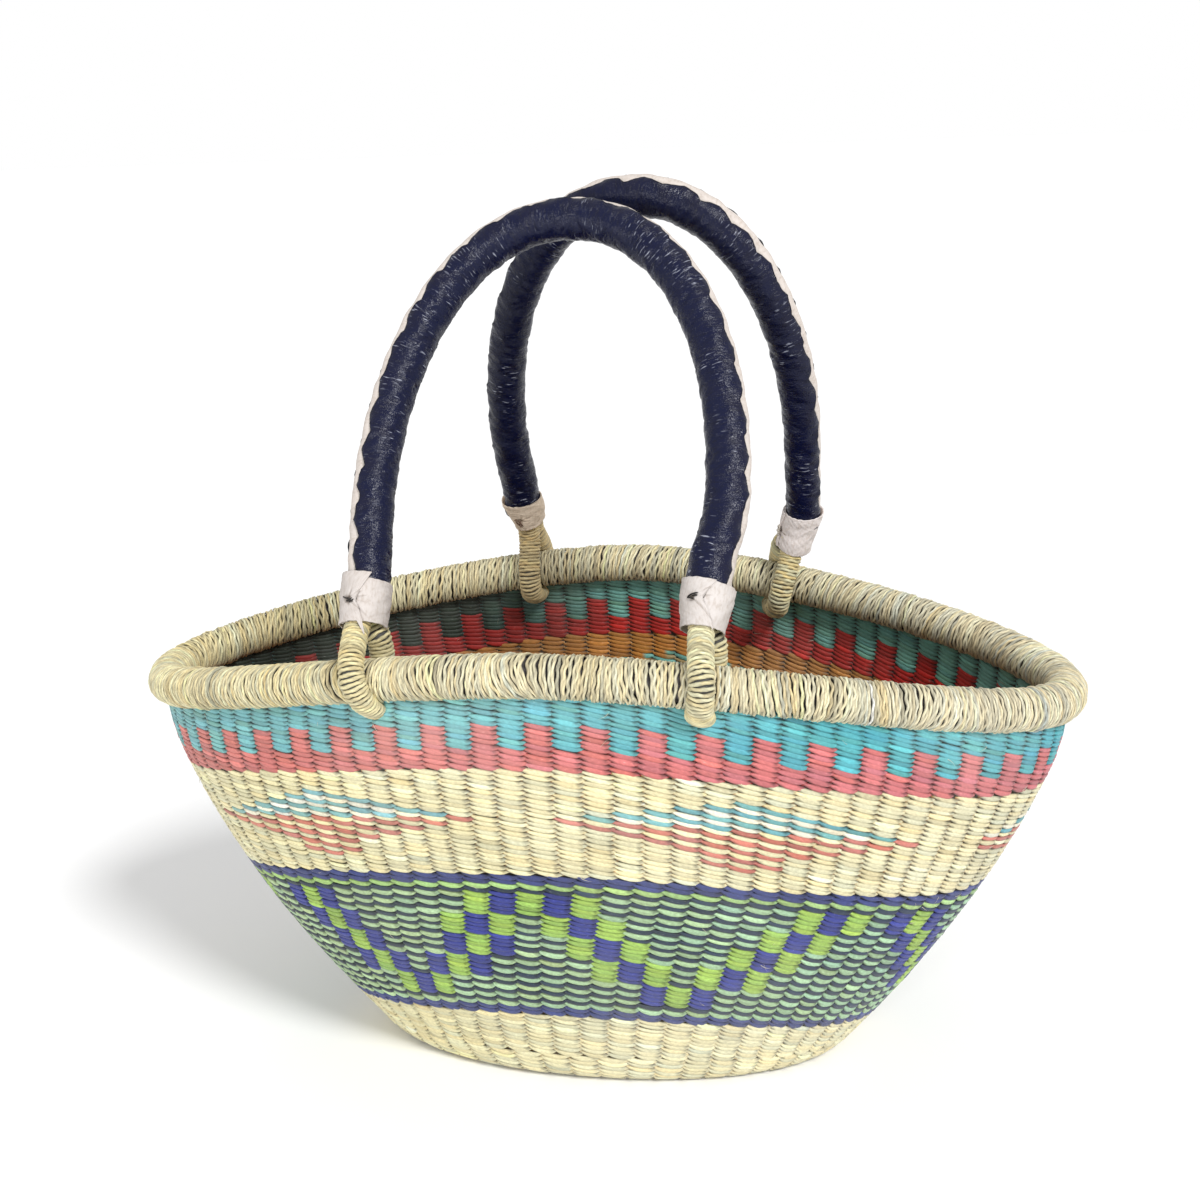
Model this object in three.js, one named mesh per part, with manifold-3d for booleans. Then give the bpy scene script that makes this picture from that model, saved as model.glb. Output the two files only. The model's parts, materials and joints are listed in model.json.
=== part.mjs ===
// Boat-shaped straw shopping basket with a wrapped rim and two leather-covered handles.
// Millimetres, +Z up. The origin lies on the floor under the middle of the basket.
// X runs from tip to tip, and -Y is the front, which is the fuller side.
import * as THREE from "three";
import { mergeVertices } from "three/addons/utils/BufferGeometryUtils.js";
import Module from "manifold-3d";

const wasm = await Module();
wasm.setup();

// Fits between pieces
const CLEARANCE = 0.3;
const SWING_CLEARANCE = 0.6;

// Basket wall
const BASKET_LENGTH = 480;
const BASKET_WIDTH = 251.2;
const TIP_HEIGHT = 196;
const RIM_ARCH = 37.7;
const BASE_LENGTH = 240.6;
const BASE_WIDTH = 109.6;
const WALL_THICKNESS = 4;
const LENGTH_BELLY = 53.7;
const WIDTH_BELLY = 96.9;
const TIP_TUCK = 6.3;
const HEEL_INSET = 6;
const HEEL_TOP = 7;

// Shape ratios of the hand-woven form
const FRONT_FULLNESS = 0.08;
const FRONT_ARCH_EXTRA = 0.13;
const ARCH_ONSET = 0.14;
const LENS_SHARPNESS = 0.14;
const MIDDLE_SOFTNESS = 0.03;
const TUCK_START = 0.8;

// Heights of the colour borders at the tips
const NATURAL_TOP = 24;
const GREEN_TOP = 103;
const LOZENGE_TOP = 154.8;
const CORAL_TOP = 166.6;

// Rim roll
const RIM_RADIUS = 10.2;
const RIM_CORE_RADIUS = 5;
const RIM_SHOULDER = 6;

// Handles, measured along the handle from the rim's middle line
const ROPE_RADIUS = 5.5;
const LOOP_NECK = 8.2;
const NECK_RUN = 2;
const CUFF_LENGTH = 21;
const CUFF_THICKNESS = 1.8;
const SLEEVE_SEAT = 7.5;
const SLEEVE_RADIUS = 9.9;
const LEATHER_THICKNESS = 1.7;
const SEAM_HALF_ANGLE = THREE.MathUtils.degToRad(40);
const WELT_RECESS = 0.6;
const BEND_HEIGHT = 86.7;
const ARCH_SQUARENESS = 2.1;
const KNOT_RADIUS = 2.6;
const KNOT_THICKNESS = 1.8;

// Front handle
const FRONT_FOOT_SPAN = 156;
const FRONT_HANDLE_WIDTH = 168;
const FRONT_HANDLE_HEIGHT = 227.6;
const FRONT_HANDLE_SHIFT = -7;
const FRONT_LEAN_DEGREES = 31.2;

// Back handle
const BACK_FOOT_SPAN = 148;
const BACK_HANDLE_WIDTH = 159;
const BACK_HANDLE_HEIGHT = 218.5;
const BACK_HANDLE_SHIFT = 17.4;
const BACK_LEAN_DEGREES = 15.5;

const HANDLES = [
  {
    name: "front",
    side: -1,
    footSpan: FRONT_FOOT_SPAN,
    width: FRONT_HANDLE_WIDTH,
    height: FRONT_HANDLE_HEIGHT,
    shift: FRONT_HANDLE_SHIFT,
    lean: FRONT_LEAN_DEGREES,
  },
  {
    name: "back",
    side: 1,
    footSpan: BACK_FOOT_SPAN,
    width: BACK_HANDLE_WIDTH,
    height: BACK_HANDLE_HEIGHT,
    shift: BACK_HANDLE_SHIFT,
    lean: BACK_LEAN_DEGREES,
  },
];

// Fineness of the faceted surfaces
const STEPS_AROUND = 64;
const PROBE_STEP = 0.002;
const BISECTIONS = 48;
const LEG_SHARE = 0.3;
const SLEEVE_STEPS = 36;
const SLEEVE_SIDES = 8;
const CORE_SIDES = 6;
const WELT_SIDES = 2;
const LOOP_STEPS = 24;
const RIM_SIDES = 10;
const BORE_SIDES = 6;
const LOOP_SIDES = 8;
const CUFF_SIDES = 16;
const HOLE_SIDES = 10;
const HOLE_STEPS = 32;
const KNOT_STEPS = [8, 5];

const RIM_HALF_LENGTH = BASKET_LENGTH / 2 - RIM_RADIUS;
const RIM_HALF_WIDTH = BASKET_WIDTH / 2 - RIM_RADIUS;
const HALF_WALL = WALL_THICKNESS / 2;
const UP = new THREE.Vector3(0, 0, 1);

// Colours and finishes
const FINISHES = {
  straw: { color: 0xe6d9a4, roughness: 0.6, metalness: 0 },
  green: { color: 0x7fae8c, roughness: 0.6, metalness: 0 },
  coral: { color: 0xdc7478, roughness: 0.6, metalness: 0 },
  turquoise: { color: 0x5fb6c0, roughness: 0.6, metalness: 0 },
  bundle: { color: 0xc9b077, roughness: 0.8, metalness: 0 },
  navyLeather: { color: 0x1e2340, roughness: 0.35, metalness: 0 },
  creamLeather: { color: 0xe8ddd5, roughness: 0.6, metalness: 0 },
  thread: { color: 0x4a4540, roughness: 0.8, metalness: 0 },
};

function named(name, geometry, finish) {
  const mesh = new THREE.Mesh(geometry, new THREE.MeshStandardMaterial(FINISHES[finish]));
  mesh.name = name;
  return mesh;
}

// How far up the wall a border lies, from 0 at the base to 1 at the rim's middle line.
function stationAt(height) {
  return height / TIP_HEIGHT;
}

function halfLength(t) {
  const straight = THREE.MathUtils.lerp(BASE_LENGTH / 2, RIM_HALF_LENGTH + TIP_TUCK, t);
  const tuck = Math.max(0, (t - TUCK_START) / (1 - TUCK_START)) ** 2;
  return straight + LENGTH_BELLY * t * (1 - t) - TIP_TUCK * tuck;
}

function halfWidth(t, side) {
  const even = THREE.MathUtils.lerp(BASE_WIDTH / 2, RIM_HALF_WIDTH, t) + WIDTH_BELLY * t * (1 - t);
  return even * (1 - FRONT_FULLNESS * side);
}

function archRise(t, side) {
  const share = (t * (1 + ARCH_ONSET)) / (t + ARCH_ONSET);
  return RIM_ARCH * share * (1 - FRONT_ARCH_EXTRA * side);
}

// A point of the wall's middle surface, before the basket is centred on the origin.
// The angle u is 0 at the right tip, 90 degrees at the back and 270 degrees at the front.
function looseWallPoint(t, u) {
  const c = Math.cos(u);
  const s = Math.sin(u);
  const side = s > 0 ? 1 : -1;
  const blunted = ((c * c + MIDDLE_SOFTNESS) / (1 + MIDDLE_SOFTNESS)) ** (LENS_SHARPNESS * t);
  const z = HALF_WALL + (TIP_HEIGHT - HALF_WALL) * t + archRise(t, side) * s * s;
  return new THREE.Vector3(halfLength(t) * c * blunted, halfWidth(t, side) * s, z);
}

function looseRimPointAtX(x, side) {
  let low = 0;
  let high = Math.PI;
  for (let i = 0; i < BISECTIONS; i += 1) {
    const middle = (low + high) / 2;
    if (looseWallPoint(1, middle).x > x) low = middle;
    else high = middle;
  }
  return looseWallPoint(1, low * side);
}

// The loops stand a little proud of the rim, so they set how deep the basket is overall.
function deepestReach(handle) {
  const rim = RIM_HALF_WIDTH * (1 - FRONT_FULLNESS * handle.side) + RIM_RADIUS;
  const reaches = [-1, 1].map((end) => {
    const foot = looseRimPointAtX(handle.shift + (end * handle.footSpan) / 2, handle.side);
    return Math.abs(foot.y) + LOOP_RADIUS + ROPE_RADIUS;
  });
  return Math.max(rim, ...reaches);
}

// The rim crosses a handle's swing axis at a slant, so a loop needs this much room round it.
function loopRadius() {
  const slant = Math.hypot(1, steepestRimSlope());
  return (RIM_RADIUS + ROPE_RADIUS) * slant + SWING_CLEARANCE;
}

function steepestRimSlope() {
  const slopes = HANDLES.flatMap((handle) => {
    const [left, right] = [-1, 1].map((end) => handle.shift + (end * handle.footSpan) / 2);
    const start = looseRimPointAtX(left, handle.side);
    const finish = looseRimPointAtX(right, handle.side);
    const axis = finish.clone().sub(start).normalize();
    return [left, right].map((x) => {
      const before = looseRimPointAtX(x - ROPE_RADIUS, handle.side);
      const rimwise = looseRimPointAtX(x + ROPE_RADIUS, handle.side).sub(before).normalize();
      return Math.tan(rimwise.angleTo(axis));
    });
  });
  return Math.max(...slopes);
}

const LOOP_RADIUS = loopRadius();
const MIDDLE_Y = (deepestReach(HANDLES[0]) - deepestReach(HANDLES[1])) / 2;

function wallPoint(t, u) {
  const point = looseWallPoint(t, u);
  point.y += MIDDLE_Y;
  return point;
}

// The wall's middle point and its outward direction at a station.
function wallFrame(t, u) {
  const above = wallPoint(Math.min(1, t + PROBE_STEP), u);
  const below = wallPoint(Math.max(0, t - PROBE_STEP), u);
  return { point: wallPoint(t, u), out: along(t, u).cross(above.sub(below)).normalize() };
}

function along(t, u) {
  return wallPoint(t, u + PROBE_STEP).sub(wallPoint(t, u - PROBE_STEP)).normalize();
}

// The rim's middle point, the direction down the wall and the direction out of the basket.
function rimFrame(u) {
  const rimwise = along(1, u);
  const down = wallPoint(stationAt(TIP_HEIGHT - RIM_RADIUS), u).sub(wallPoint(1, u));
  down.addScaledVector(rimwise, -down.dot(rimwise)).normalize();
  return { point: wallPoint(1, u), down, out: down.clone().cross(rimwise).normalize() };
}

function offset(frame, distance) {
  return frame.point.clone().addScaledVector(frame.out, distance);
}

function sectionsAround(sectionAt) {
  return Array.from({ length: STEPS_AROUND }, (_, i) => sectionAt((2 * Math.PI * i) / STEPS_AROUND));
}

// Joins closed sections, one for each step round the basket, into one closed ring.
function ringSolid(sectionAt) {
  const sections = sectionsAround(sectionAt);
  const size = sections[0].length;
  const faces = [];
  for (let i = 0; i < STEPS_AROUND; i += 1) {
    const here = i * size;
    const next = ((i + 1) % STEPS_AROUND) * size;
    for (let j = 0; j < size; j += 1) {
      const k = (j + 1) % size;
      pushQuad(faces, here + j, next + j, next + k, here + k);
    }
  }
  return faceted(sections.flat(), faces);
}

// Joins open sections into a bowl, closed by a point under its middle and one over it.
function bowlSolid(sectionAt, under, over) {
  const sections = sectionsAround(sectionAt);
  const size = sections[0].length;
  const points = [...sections.flat(), under, over];
  const faces = [];
  for (let i = 0; i < STEPS_AROUND; i += 1) {
    const here = i * size;
    const next = ((i + 1) % STEPS_AROUND) * size;
    for (let j = 0; j + 1 < size; j += 1) {
      pushQuad(faces, here + j, next + j, next + j + 1, here + j + 1);
    }
    faces.push(points.length - 2, next, here);
    faces.push(points.length - 1, here + size - 1, next + size - 1);
  }
  return faceted(points, faces);
}

function pushQuad(faces, a, b, c, d) {
  faces.push(a, b, c, a, c, d);
}

function faceted(points, faces) {
  const geometry = new THREE.BufferGeometry().setFromPoints(points);
  geometry.setIndex(faces);
  geometry.computeVertexNormals();
  return geometry;
}

// A woven band between two stations, open in the middle like the basket.
function bandSolid(bottom, top, rows) {
  return ringSolid((u) => {
    const frames = [];
    for (let row = 0; row <= rows; row += 1) {
      frames.push(wallFrame(THREE.MathUtils.lerp(bottom, top, row / rows), u));
    }
    return skinned(frames);
  });
}

// Goes up the outer face of the wall and comes down its inner face.
function skinned(frames) {
  const outer = frames.map((frame) => offset(frame, HALF_WALL));
  const inner = frames.map((frame) => offset(frame, -HALF_WALL));
  return [...outer, ...inner.reverse()];
}

// The top band runs straight into the slot under the rim roll, up to the rim's core.
function topBandSolid(bottom) {
  const shoulder = stationAt(TIP_HEIGHT - RIM_RADIUS - RIM_SHOULDER);
  return ringSolid((u) => {
    const rim = rimFrame(u);
    const depths = [RIM_RADIUS + RIM_SHOULDER / 2, RIM_CORE_RADIUS + 2 * CLEARANCE];
    const seated = depths.map((depth) => ({
      point: rim.point.clone().addScaledVector(rim.down, depth),
      out: rim.out,
    }));
    return skinned([wallFrame(bottom, u), wallFrame(shoulder, u), ...seated]);
  });
}

// The flat bottom and the rounded heel that turns up into the wall.
function baseSolid(top) {
  const middle = new THREE.Vector3(0, MIDDLE_Y, HALF_WALL);
  const down = UP.clone().negate();
  const sectionAt = (u) => {
    const corner = wallPoint(0, u);
    const inward = middle.clone().sub(corner).normalize();
    const edge = corner.clone().addScaledVector(inward, HEEL_INSET);
    const wall = wallFrame(top, u);
    const heel = edge.clone().add(wall.point).addScaledVector(corner, 2).divideScalar(4);
    return skinned([
      { point: edge.clone().lerp(middle, 0.5), out: down },
      { point: edge, out: down },
      { point: heel, out: wall.out.clone().add(down).normalize() },
      wall,
    ]);
  };
  const under = middle.clone().addScaledVector(down, HALF_WALL);
  const over = middle.clone().addScaledVector(down, -HALF_WALL);
  return bowlSolid(sectionAt, under, over);
}

// The wrapped roll: a tube round the core, slit underneath for the wall's top edge.
function rimWrapSolid() {
  const slot = HALF_WALL + CLEARANCE;
  const bore = (RIM_CORE_RADIUS + CLEARANCE) / Math.cos(Math.PI / BORE_SIDES);
  return ringSolid((u) => {
    const frame = rimFrame(u);
    const outer = slitCircle(frame, RIM_RADIUS, Math.asin(slot / RIM_RADIUS), RIM_SIDES);
    const inner = slitCircle(frame, bore, Math.asin(slot / bore), BORE_SIDES);
    return [...outer, ...inner.reverse()];
  });
}

function slitCircle(frame, radius, slitAngle, steps) {
  const points = [];
  for (let i = 0; i <= steps; i += 1) {
    const angle = THREE.MathUtils.lerp(slitAngle, 2 * Math.PI - slitAngle, i / steps);
    points.push(roundPoint(frame, radius, angle));
  }
  return points;
}

function roundPoint(frame, radius, angle) {
  return frame.point
    .clone()
    .addScaledVector(frame.down, radius * Math.cos(angle))
    .addScaledVector(frame.out, radius * Math.sin(angle));
}

function rimCoreSolid() {
  return ringSolid((u) => {
    const frame = rimFrame(u);
    const corners = [];
    for (let i = 0; i < CORE_SIDES; i += 1) {
      corners.push(roundPoint(frame, RIM_CORE_RADIUS, (2 * Math.PI * i) / CORE_SIDES));
    }
    return corners;
  });
}

// Exact solids for cutting
function toSolid(geometry) {
  const bare = geometry.clone();
  for (const attribute of ["normal", "uv"]) bare.deleteAttribute(attribute);
  const merged = mergeVertices(bare, 1e-4);
  const vertProperties = new Float32Array(merged.attributes.position.array);
  const triVerts = new Uint32Array(merged.index.array);
  return new wasm.Manifold(new wasm.Mesh({ numProp: 3, vertProperties, triVerts }));
}

function fromSolid(solid) {
  const mesh = solid.getMesh();
  const geometry = new THREE.BufferGeometry();
  geometry.setAttribute("position", new THREE.BufferAttribute(new Float32Array(mesh.vertProperties), 3));
  geometry.setIndex(new THREE.BufferAttribute(new Uint32Array(mesh.triVerts), 1));
  geometry.computeVertexNormals();
  return geometry;
}

// Heights along a handle, from the swing axis up
const CUFF_BOTTOM = LOOP_RADIUS + LOOP_NECK;
const CUFF_TOP = CUFF_BOTTOM + CUFF_LENGTH;
const SLEEVE_BOTTOM = CUFF_TOP - SLEEVE_SEAT;
const NECK_BEND = CUFF_BOTTOM - NECK_RUN;
const LEG_OFFSET = ROPE_RADIUS + CLEARANCE / 2;

// Middle line of a handle in its own plane, from the left cuff over the top to the right one.
class HandleLine extends THREE.Curve {
  constructor(footHalf, widestHalf, height) {
    super();
    this.footHalf = footHalf;
    this.widestHalf = widestHalf;
    this.height = height;
  }

  getPoint(share, target = new THREE.Vector3()) {
    const side = share < 0.5 ? -1 : 1;
    const climb = 1 - Math.abs(2 * share - 1);
    if (climb < LEG_SHARE) {
      const z = THREE.MathUtils.lerp(SLEEVE_BOTTOM, BEND_HEIGHT, climb / LEG_SHARE);
      const spread = THREE.MathUtils.clamp((z - CUFF_TOP) / (BEND_HEIGHT - CUFF_TOP), 0, 1);
      const eased = (1 - Math.cos(Math.PI * spread)) / 2;
      return target.set(side * THREE.MathUtils.lerp(this.footHalf, this.widestHalf, eased), 0, z);
    }
    const angle = ((climb - LEG_SHARE) / (1 - LEG_SHARE)) * (Math.PI / 2);
    const x = Math.max(0, Math.cos(angle)) ** (2 / ARCH_SQUARENESS) * this.widestHalf;
    const rise = Math.sin(angle) ** (2 / ARCH_SQUARENESS) * (this.height - BEND_HEIGHT);
    return target.set(side * x, 0, BEND_HEIGHT + rise);
  }
}

// A flat path laid in the plane square to a handle's swing axis.
class SidePath extends THREE.Curve {
  constructor(path) {
    super();
    this.path = path;
  }

  getPoint(share, target = new THREE.Vector3()) {
    const { x, y } = this.path.getPoint(share);
    return target.set(0, x, y);
  }
}

// One rope loop: down out of the cuff, round under the rim and up into the cuff again.
function loopPath() {
  const reach = Math.hypot(LEG_OFFSET, NECK_BEND);
  const leave = Math.atan2(LEG_OFFSET, NECK_BEND) + Math.acos(LOOP_RADIUS / reach);
  const path = new THREE.Path();
  path.moveTo(-LEG_OFFSET, SLEEVE_BOTTOM - CLEARANCE);
  path.lineTo(-LEG_OFFSET, NECK_BEND);
  path.absarc(0, 0, LOOP_RADIUS, Math.PI / 2 + leave, (5 * Math.PI) / 2 - leave, false);
  path.lineTo(LEG_OFFSET, NECK_BEND);
  path.lineTo(LEG_OFFSET, SLEEVE_BOTTOM - CLEARANCE);
  return new SidePath(path);
}

function roundShape(radius, sides) {
  const corners = [];
  for (let i = 0; i < sides; i += 1) {
    const angle = (2 * Math.PI * (i + 0.5)) / sides;
    corners.push(new THREE.Vector2(radius * Math.cos(angle), radius * Math.sin(angle)));
  }
  return new THREE.Shape(corners);
}

function swept(shape, path, steps) {
  return new THREE.ExtrudeGeometry(shape, { steps, extrudePath: path, curveSegments: 1 });
}

// Section of a strip of leather that lies round the handle, bent about its middle line.
function stripShape(inner, outer, middle, halfAngle, sides) {
  const corners = [];
  for (let i = 0; i <= sides; i += 1) {
    const angle = middle + THREE.MathUtils.lerp(-halfAngle, halfAngle, i / sides);
    corners.push([Math.cos(angle), Math.sin(angle)]);
  }
  const outside = corners.map(([x, y]) => new THREE.Vector2(outer * x, outer * y));
  const inside = corners.map(([x, y]) => new THREE.Vector2(inner * x, inner * y));
  return new THREE.Shape([...outside, ...inside.reverse()]);
}

// The sleeve is open along the outside of the bend, where the welt lies under its two edges.
const SLEEVE_HALF_ANGLE = Math.PI - SEAM_HALF_ANGLE;
const SLEEVE_BORE = SLEEVE_RADIUS - LEATHER_THICKNESS;
const INTRADOS = Math.PI / 2;
const EXTRADOS = -INTRADOS;

function sleeveShape() {
  return stripShape(SLEEVE_BORE, SLEEVE_RADIUS, INTRADOS, SLEEVE_HALF_ANGLE, SLEEVE_SIDES);
}

function weltShape() {
  const halfAngle = SEAM_HALF_ANGLE - CLEARANCE / SLEEVE_BORE;
  return stripShape(SLEEVE_BORE, SLEEVE_RADIUS - WELT_RECESS, EXTRADOS, halfAngle, WELT_SIDES);
}

function coreShape() {
  const flats = SLEEVE_BORE * Math.cos(SLEEVE_HALF_ANGLE / SLEEVE_SIDES);
  return roundShape(flats - CLEARANCE, CORE_SIDES);
}

const CUFF_INNER_X = SLEEVE_RADIUS + CLEARANCE;
const CUFF_INNER_Y = LEG_OFFSET + ROPE_RADIUS + CLEARANCE;

// Leather cuff, oval because two rope legs lie side by side in it.
function cuffSolid() {
  const shape = ovalShape(CUFF_INNER_X + CUFF_THICKNESS, CUFF_INNER_Y + CUFF_THICKNESS);
  shape.holes.push(ovalShape(CUFF_INNER_X, CUFF_INNER_Y));
  return new THREE.ExtrudeGeometry(shape, { depth: CUFF_LENGTH, steps: 1, bevelEnabled: false });
}

// An oval with flat sides, which touch an ellipse of the given half sizes from outside.
function ovalShape(halfX, halfY) {
  const corners = [];
  const widened = 1 / Math.cos(Math.PI / CUFF_SIDES);
  for (let i = 0; i < CUFF_SIDES; i += 1) {
    const angle = (2 * Math.PI * (i + 0.5)) / CUFF_SIDES;
    corners.push(new THREE.Vector2(halfX * Math.cos(angle), halfY * Math.sin(angle)));
  }
  return new THREE.Shape(corners.map((corner) => corner.multiplyScalar(widened)));
}

function knotSolid() {
  const flatness = KNOT_THICKNESS / (2 * KNOT_RADIUS);
  return new THREE.SphereGeometry(KNOT_RADIUS, ...KNOT_STEPS).scale(1, flatness, 1);
}

// Places a handle's own frame: X along its swing axis, Z up along the handle.
function handleGroup(handle) {
  const feet = [-1, 1].map((end) => {
    const foot = looseRimPointAtX(handle.shift + (end * handle.footSpan) / 2, handle.side);
    foot.y += MIDDLE_Y;
    return foot;
  });
  const across = feet[1].clone().sub(feet[0]).normalize();
  const back = UP.clone().cross(across).normalize();
  const group = new THREE.Group();
  group.position.copy(feet[0]).lerp(feet[1], 0.5);
  const upright = new THREE.Matrix4().makeBasis(across, back, across.clone().cross(back));
  const lean = THREE.MathUtils.degToRad(handle.lean) * handle.side;
  group.quaternion.setFromRotationMatrix(upright);
  group.quaternion.multiply(new THREE.Quaternion().setFromAxisAngle(new THREE.Vector3(1, 0, 0), lean));
  group.userData.footHalf = feet[0].distanceTo(feet[1]) / 2;
  return group;
}

function buildHandle(handle, group) {
  const { footHalf } = group.userData;
  const line = new HandleLine(footHalf, handle.width / 2, handle.height);
  const prefix = `${handle.name}_handle`;
  group.add(
    named(`${prefix}_core`, swept(coreShape(), line, SLEEVE_STEPS), "bundle"),
    named(`${prefix}_sleeve`, swept(sleeveShape(), line, SLEEVE_STEPS), "navyLeather"),
    named(`${prefix}_welt`, swept(weltShape(), line, SLEEVE_STEPS), "creamLeather"),
  );
  for (const end of [-1, 1]) {
    const foot = `${handle.name}_${end < 0 ? "left" : "right"}`;
    const loop = named(`${foot}_loop`, loopSolid(), "straw");
    loop.position.x = end * footHalf;
    const cuff = named(`${foot}_cuff`, cuffSolid(), "creamLeather");
    cuff.position.set(end * footHalf, 0, CUFF_BOTTOM);
    const knot = named(`${foot}_cuff_knot`, knotSolid(), "thread");
    const seat = CUFF_INNER_Y + CUFF_THICKNESS + CLEARANCE + KNOT_THICKNESS / 2;
    knot.position.set(end * footHalf, -seat, CUFF_BOTTOM + CUFF_LENGTH / 2);
    group.add(loop, cuff, knot);
  }
}

function loopSolid() {
  return swept(roundShape(ROPE_RADIUS, LOOP_SIDES), loopPath(), LOOP_STEPS);
}

// The wall is open where a loop passes through it, so that the loop can turn.
function loopHoles(groups) {
  const bore = (ROPE_RADIUS + SWING_CLEARANCE) / Math.cos(Math.PI / HOLE_SIDES);
  return groups.flatMap((group) =>
    [-1, 1].map((end) => {
      const ring = new THREE.TorusGeometry(LOOP_RADIUS, bore, HOLE_SIDES, HOLE_STEPS);
      ring.rotateY(Math.PI / 2);
      ring.translate(end * group.userData.footHalf, 0, 0);
      ring.applyMatrix4(group.matrixWorld);
      return toSolid(ring);
    }),
  );
}

function buildBasket(group, handleGroups) {
  const gap = stationAt(CLEARANCE);
  const heel = stationAt(HEEL_TOP);
  const natural = stationAt(NATURAL_TOP);
  const green = stationAt(GREEN_TOP);
  const lozenge = stationAt(LOZENGE_TOP);
  const coral = stationAt(CORAL_TOP);
  const holes = loopHoles(handleGroups).reduce((all, hole) => all.add(hole));
  const turquoise = fromSolid(toSolid(topBandSolid(coral)).subtract(holes));
  group.add(
    named("base_weave", baseSolid(heel - gap), "straw"),
    named("lower_natural_band", bandSolid(heel, natural - gap, 1), "straw"),
    named("green_navy_band", bandSolid(natural, green - gap, 3), "green"),
    named("lozenge_band", bandSolid(green, lozenge - gap, 2), "straw"),
    named("coral_band", bandSolid(lozenge, coral - gap, 1), "coral"),
    named("turquoise_band", turquoise, "turquoise"),
    named("rim_core", rimCoreSolid(), "bundle"),
    named("rim_wrap", rimWrapSolid(), "straw"),
  );
}

const group = new THREE.Group();
const handleGroups = HANDLES.map(handleGroup);
group.add(...handleGroups);
group.updateMatrixWorld(true);
buildBasket(group, handleGroups);
HANDLES.forEach((handle, index) => buildHandle(handle, handleGroups[index]));

export default group;
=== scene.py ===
"""A boat-shaped straw shopping basket with a wrapped rim and two leather-covered handles.

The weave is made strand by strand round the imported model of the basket. Lengths are
millimetres until a mesh is made, which is in metres, and angles are radians unless a name
says degrees. X runs from tip to tip, -Y is the fuller front side and +Z is up.
"""

from __future__ import annotations

import json
import logging
import math
from collections.abc import Callable, Sequence
from dataclasses import dataclass, field
from enum import Enum

import bpy
import numpy as np
from mathutils import Matrix, Vector

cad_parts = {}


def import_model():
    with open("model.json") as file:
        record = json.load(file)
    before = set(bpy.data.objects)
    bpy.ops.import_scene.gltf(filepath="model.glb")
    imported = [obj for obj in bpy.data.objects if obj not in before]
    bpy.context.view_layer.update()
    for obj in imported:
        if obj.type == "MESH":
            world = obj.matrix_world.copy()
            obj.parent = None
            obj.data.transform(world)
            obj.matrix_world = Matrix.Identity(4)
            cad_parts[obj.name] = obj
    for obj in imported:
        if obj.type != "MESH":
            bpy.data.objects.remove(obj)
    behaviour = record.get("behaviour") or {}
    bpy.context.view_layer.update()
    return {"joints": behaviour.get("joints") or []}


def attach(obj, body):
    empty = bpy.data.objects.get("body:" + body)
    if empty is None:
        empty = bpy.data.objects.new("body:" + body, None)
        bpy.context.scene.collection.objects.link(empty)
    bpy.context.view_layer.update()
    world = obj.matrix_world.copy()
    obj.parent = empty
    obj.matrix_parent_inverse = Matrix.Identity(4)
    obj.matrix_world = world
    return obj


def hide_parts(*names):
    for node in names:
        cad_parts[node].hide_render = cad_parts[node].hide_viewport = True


LOG = logging.getLogger("basket")
MM = 0.001
FULL_TURN = 2 * math.pi
FRONT = 1.5 * math.pi

Array = np.ndarray
Colour = tuple[float, float, float]


def linear(code: int) -> Colour:
    """Red, green and blue in linear light from a six-digit code such as 0xE6D9A0."""
    channels = [((code >> shift) & 255) / 255 for shift in (16, 8, 0)]
    return tuple(c / 12.92 if c <= 0.04045 else ((c + 0.055) / 1.055) ** 2.4 for c in channels)


def unit(vectors: Array) -> Array:
    """Vectors of length one, along the last axis."""
    return vectors / np.maximum(np.linalg.norm(vectors, axis=-1, keepdims=True), 1e-12)


def lerp(start: float | Array, end: float | Array, share: float | Array) -> float | Array:
    """The value at a share of the way from start to end."""
    return start + (end - start) * share


def clamp(values: float | Array) -> float | Array:
    """Values kept between 0 and 1."""
    return np.clip(values, 0, 1)


def eased(share: Array) -> Array:
    """A share from 0 to 1 that starts and ends gently."""
    return (1 - np.cos(math.pi * share)) / 2


def from_edge(share: Array) -> Array:
    """How far a share is from the nearer of 0 and 1."""
    return np.minimum(share, 1 - share)


def circle(count: int) -> Array:
    """Angles of points that lie evenly round a circle."""
    return FULL_TURN * np.arange(count) / count


def spokes(first: Array, second: Array, turn: Array) -> Array:
    """Directions round each point of a line.

    Args:
        first: the direction at angle 0, square to the line, for each point.
        second: the direction at a quarter turn.
        turn: angles, either one row for all points or a row for each.

    Returns:
        Directions as points, angles and xyz.
    """
    return first[:, None] * np.cos(turn)[..., None] + second[:, None] * np.sin(turn)[..., None]


def arc_length(line: Array) -> Array:
    """How far along a line each of its points is."""
    hops = np.linalg.norm(np.diff(line, axis=0), axis=1)
    return np.concatenate([[0], np.cumsum(hops)])


def respaced(line: Array, count: int) -> Array:
    """The same line with a number of evenly spaced points."""
    length = arc_length(line)
    places = np.linspace(0, length[-1], count)
    return np.stack([np.interp(places, length, values) for values in line.T], -1)


def smoothed(values: Array, passes: int) -> Array:
    """Values that are mixed with their neighbours a number of times, all but the two ends."""
    for _ in range(passes):
        values[1:-1] = (values[:-2] + 2 * values[1:-1] + values[2:]) / 4
    return values


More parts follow.
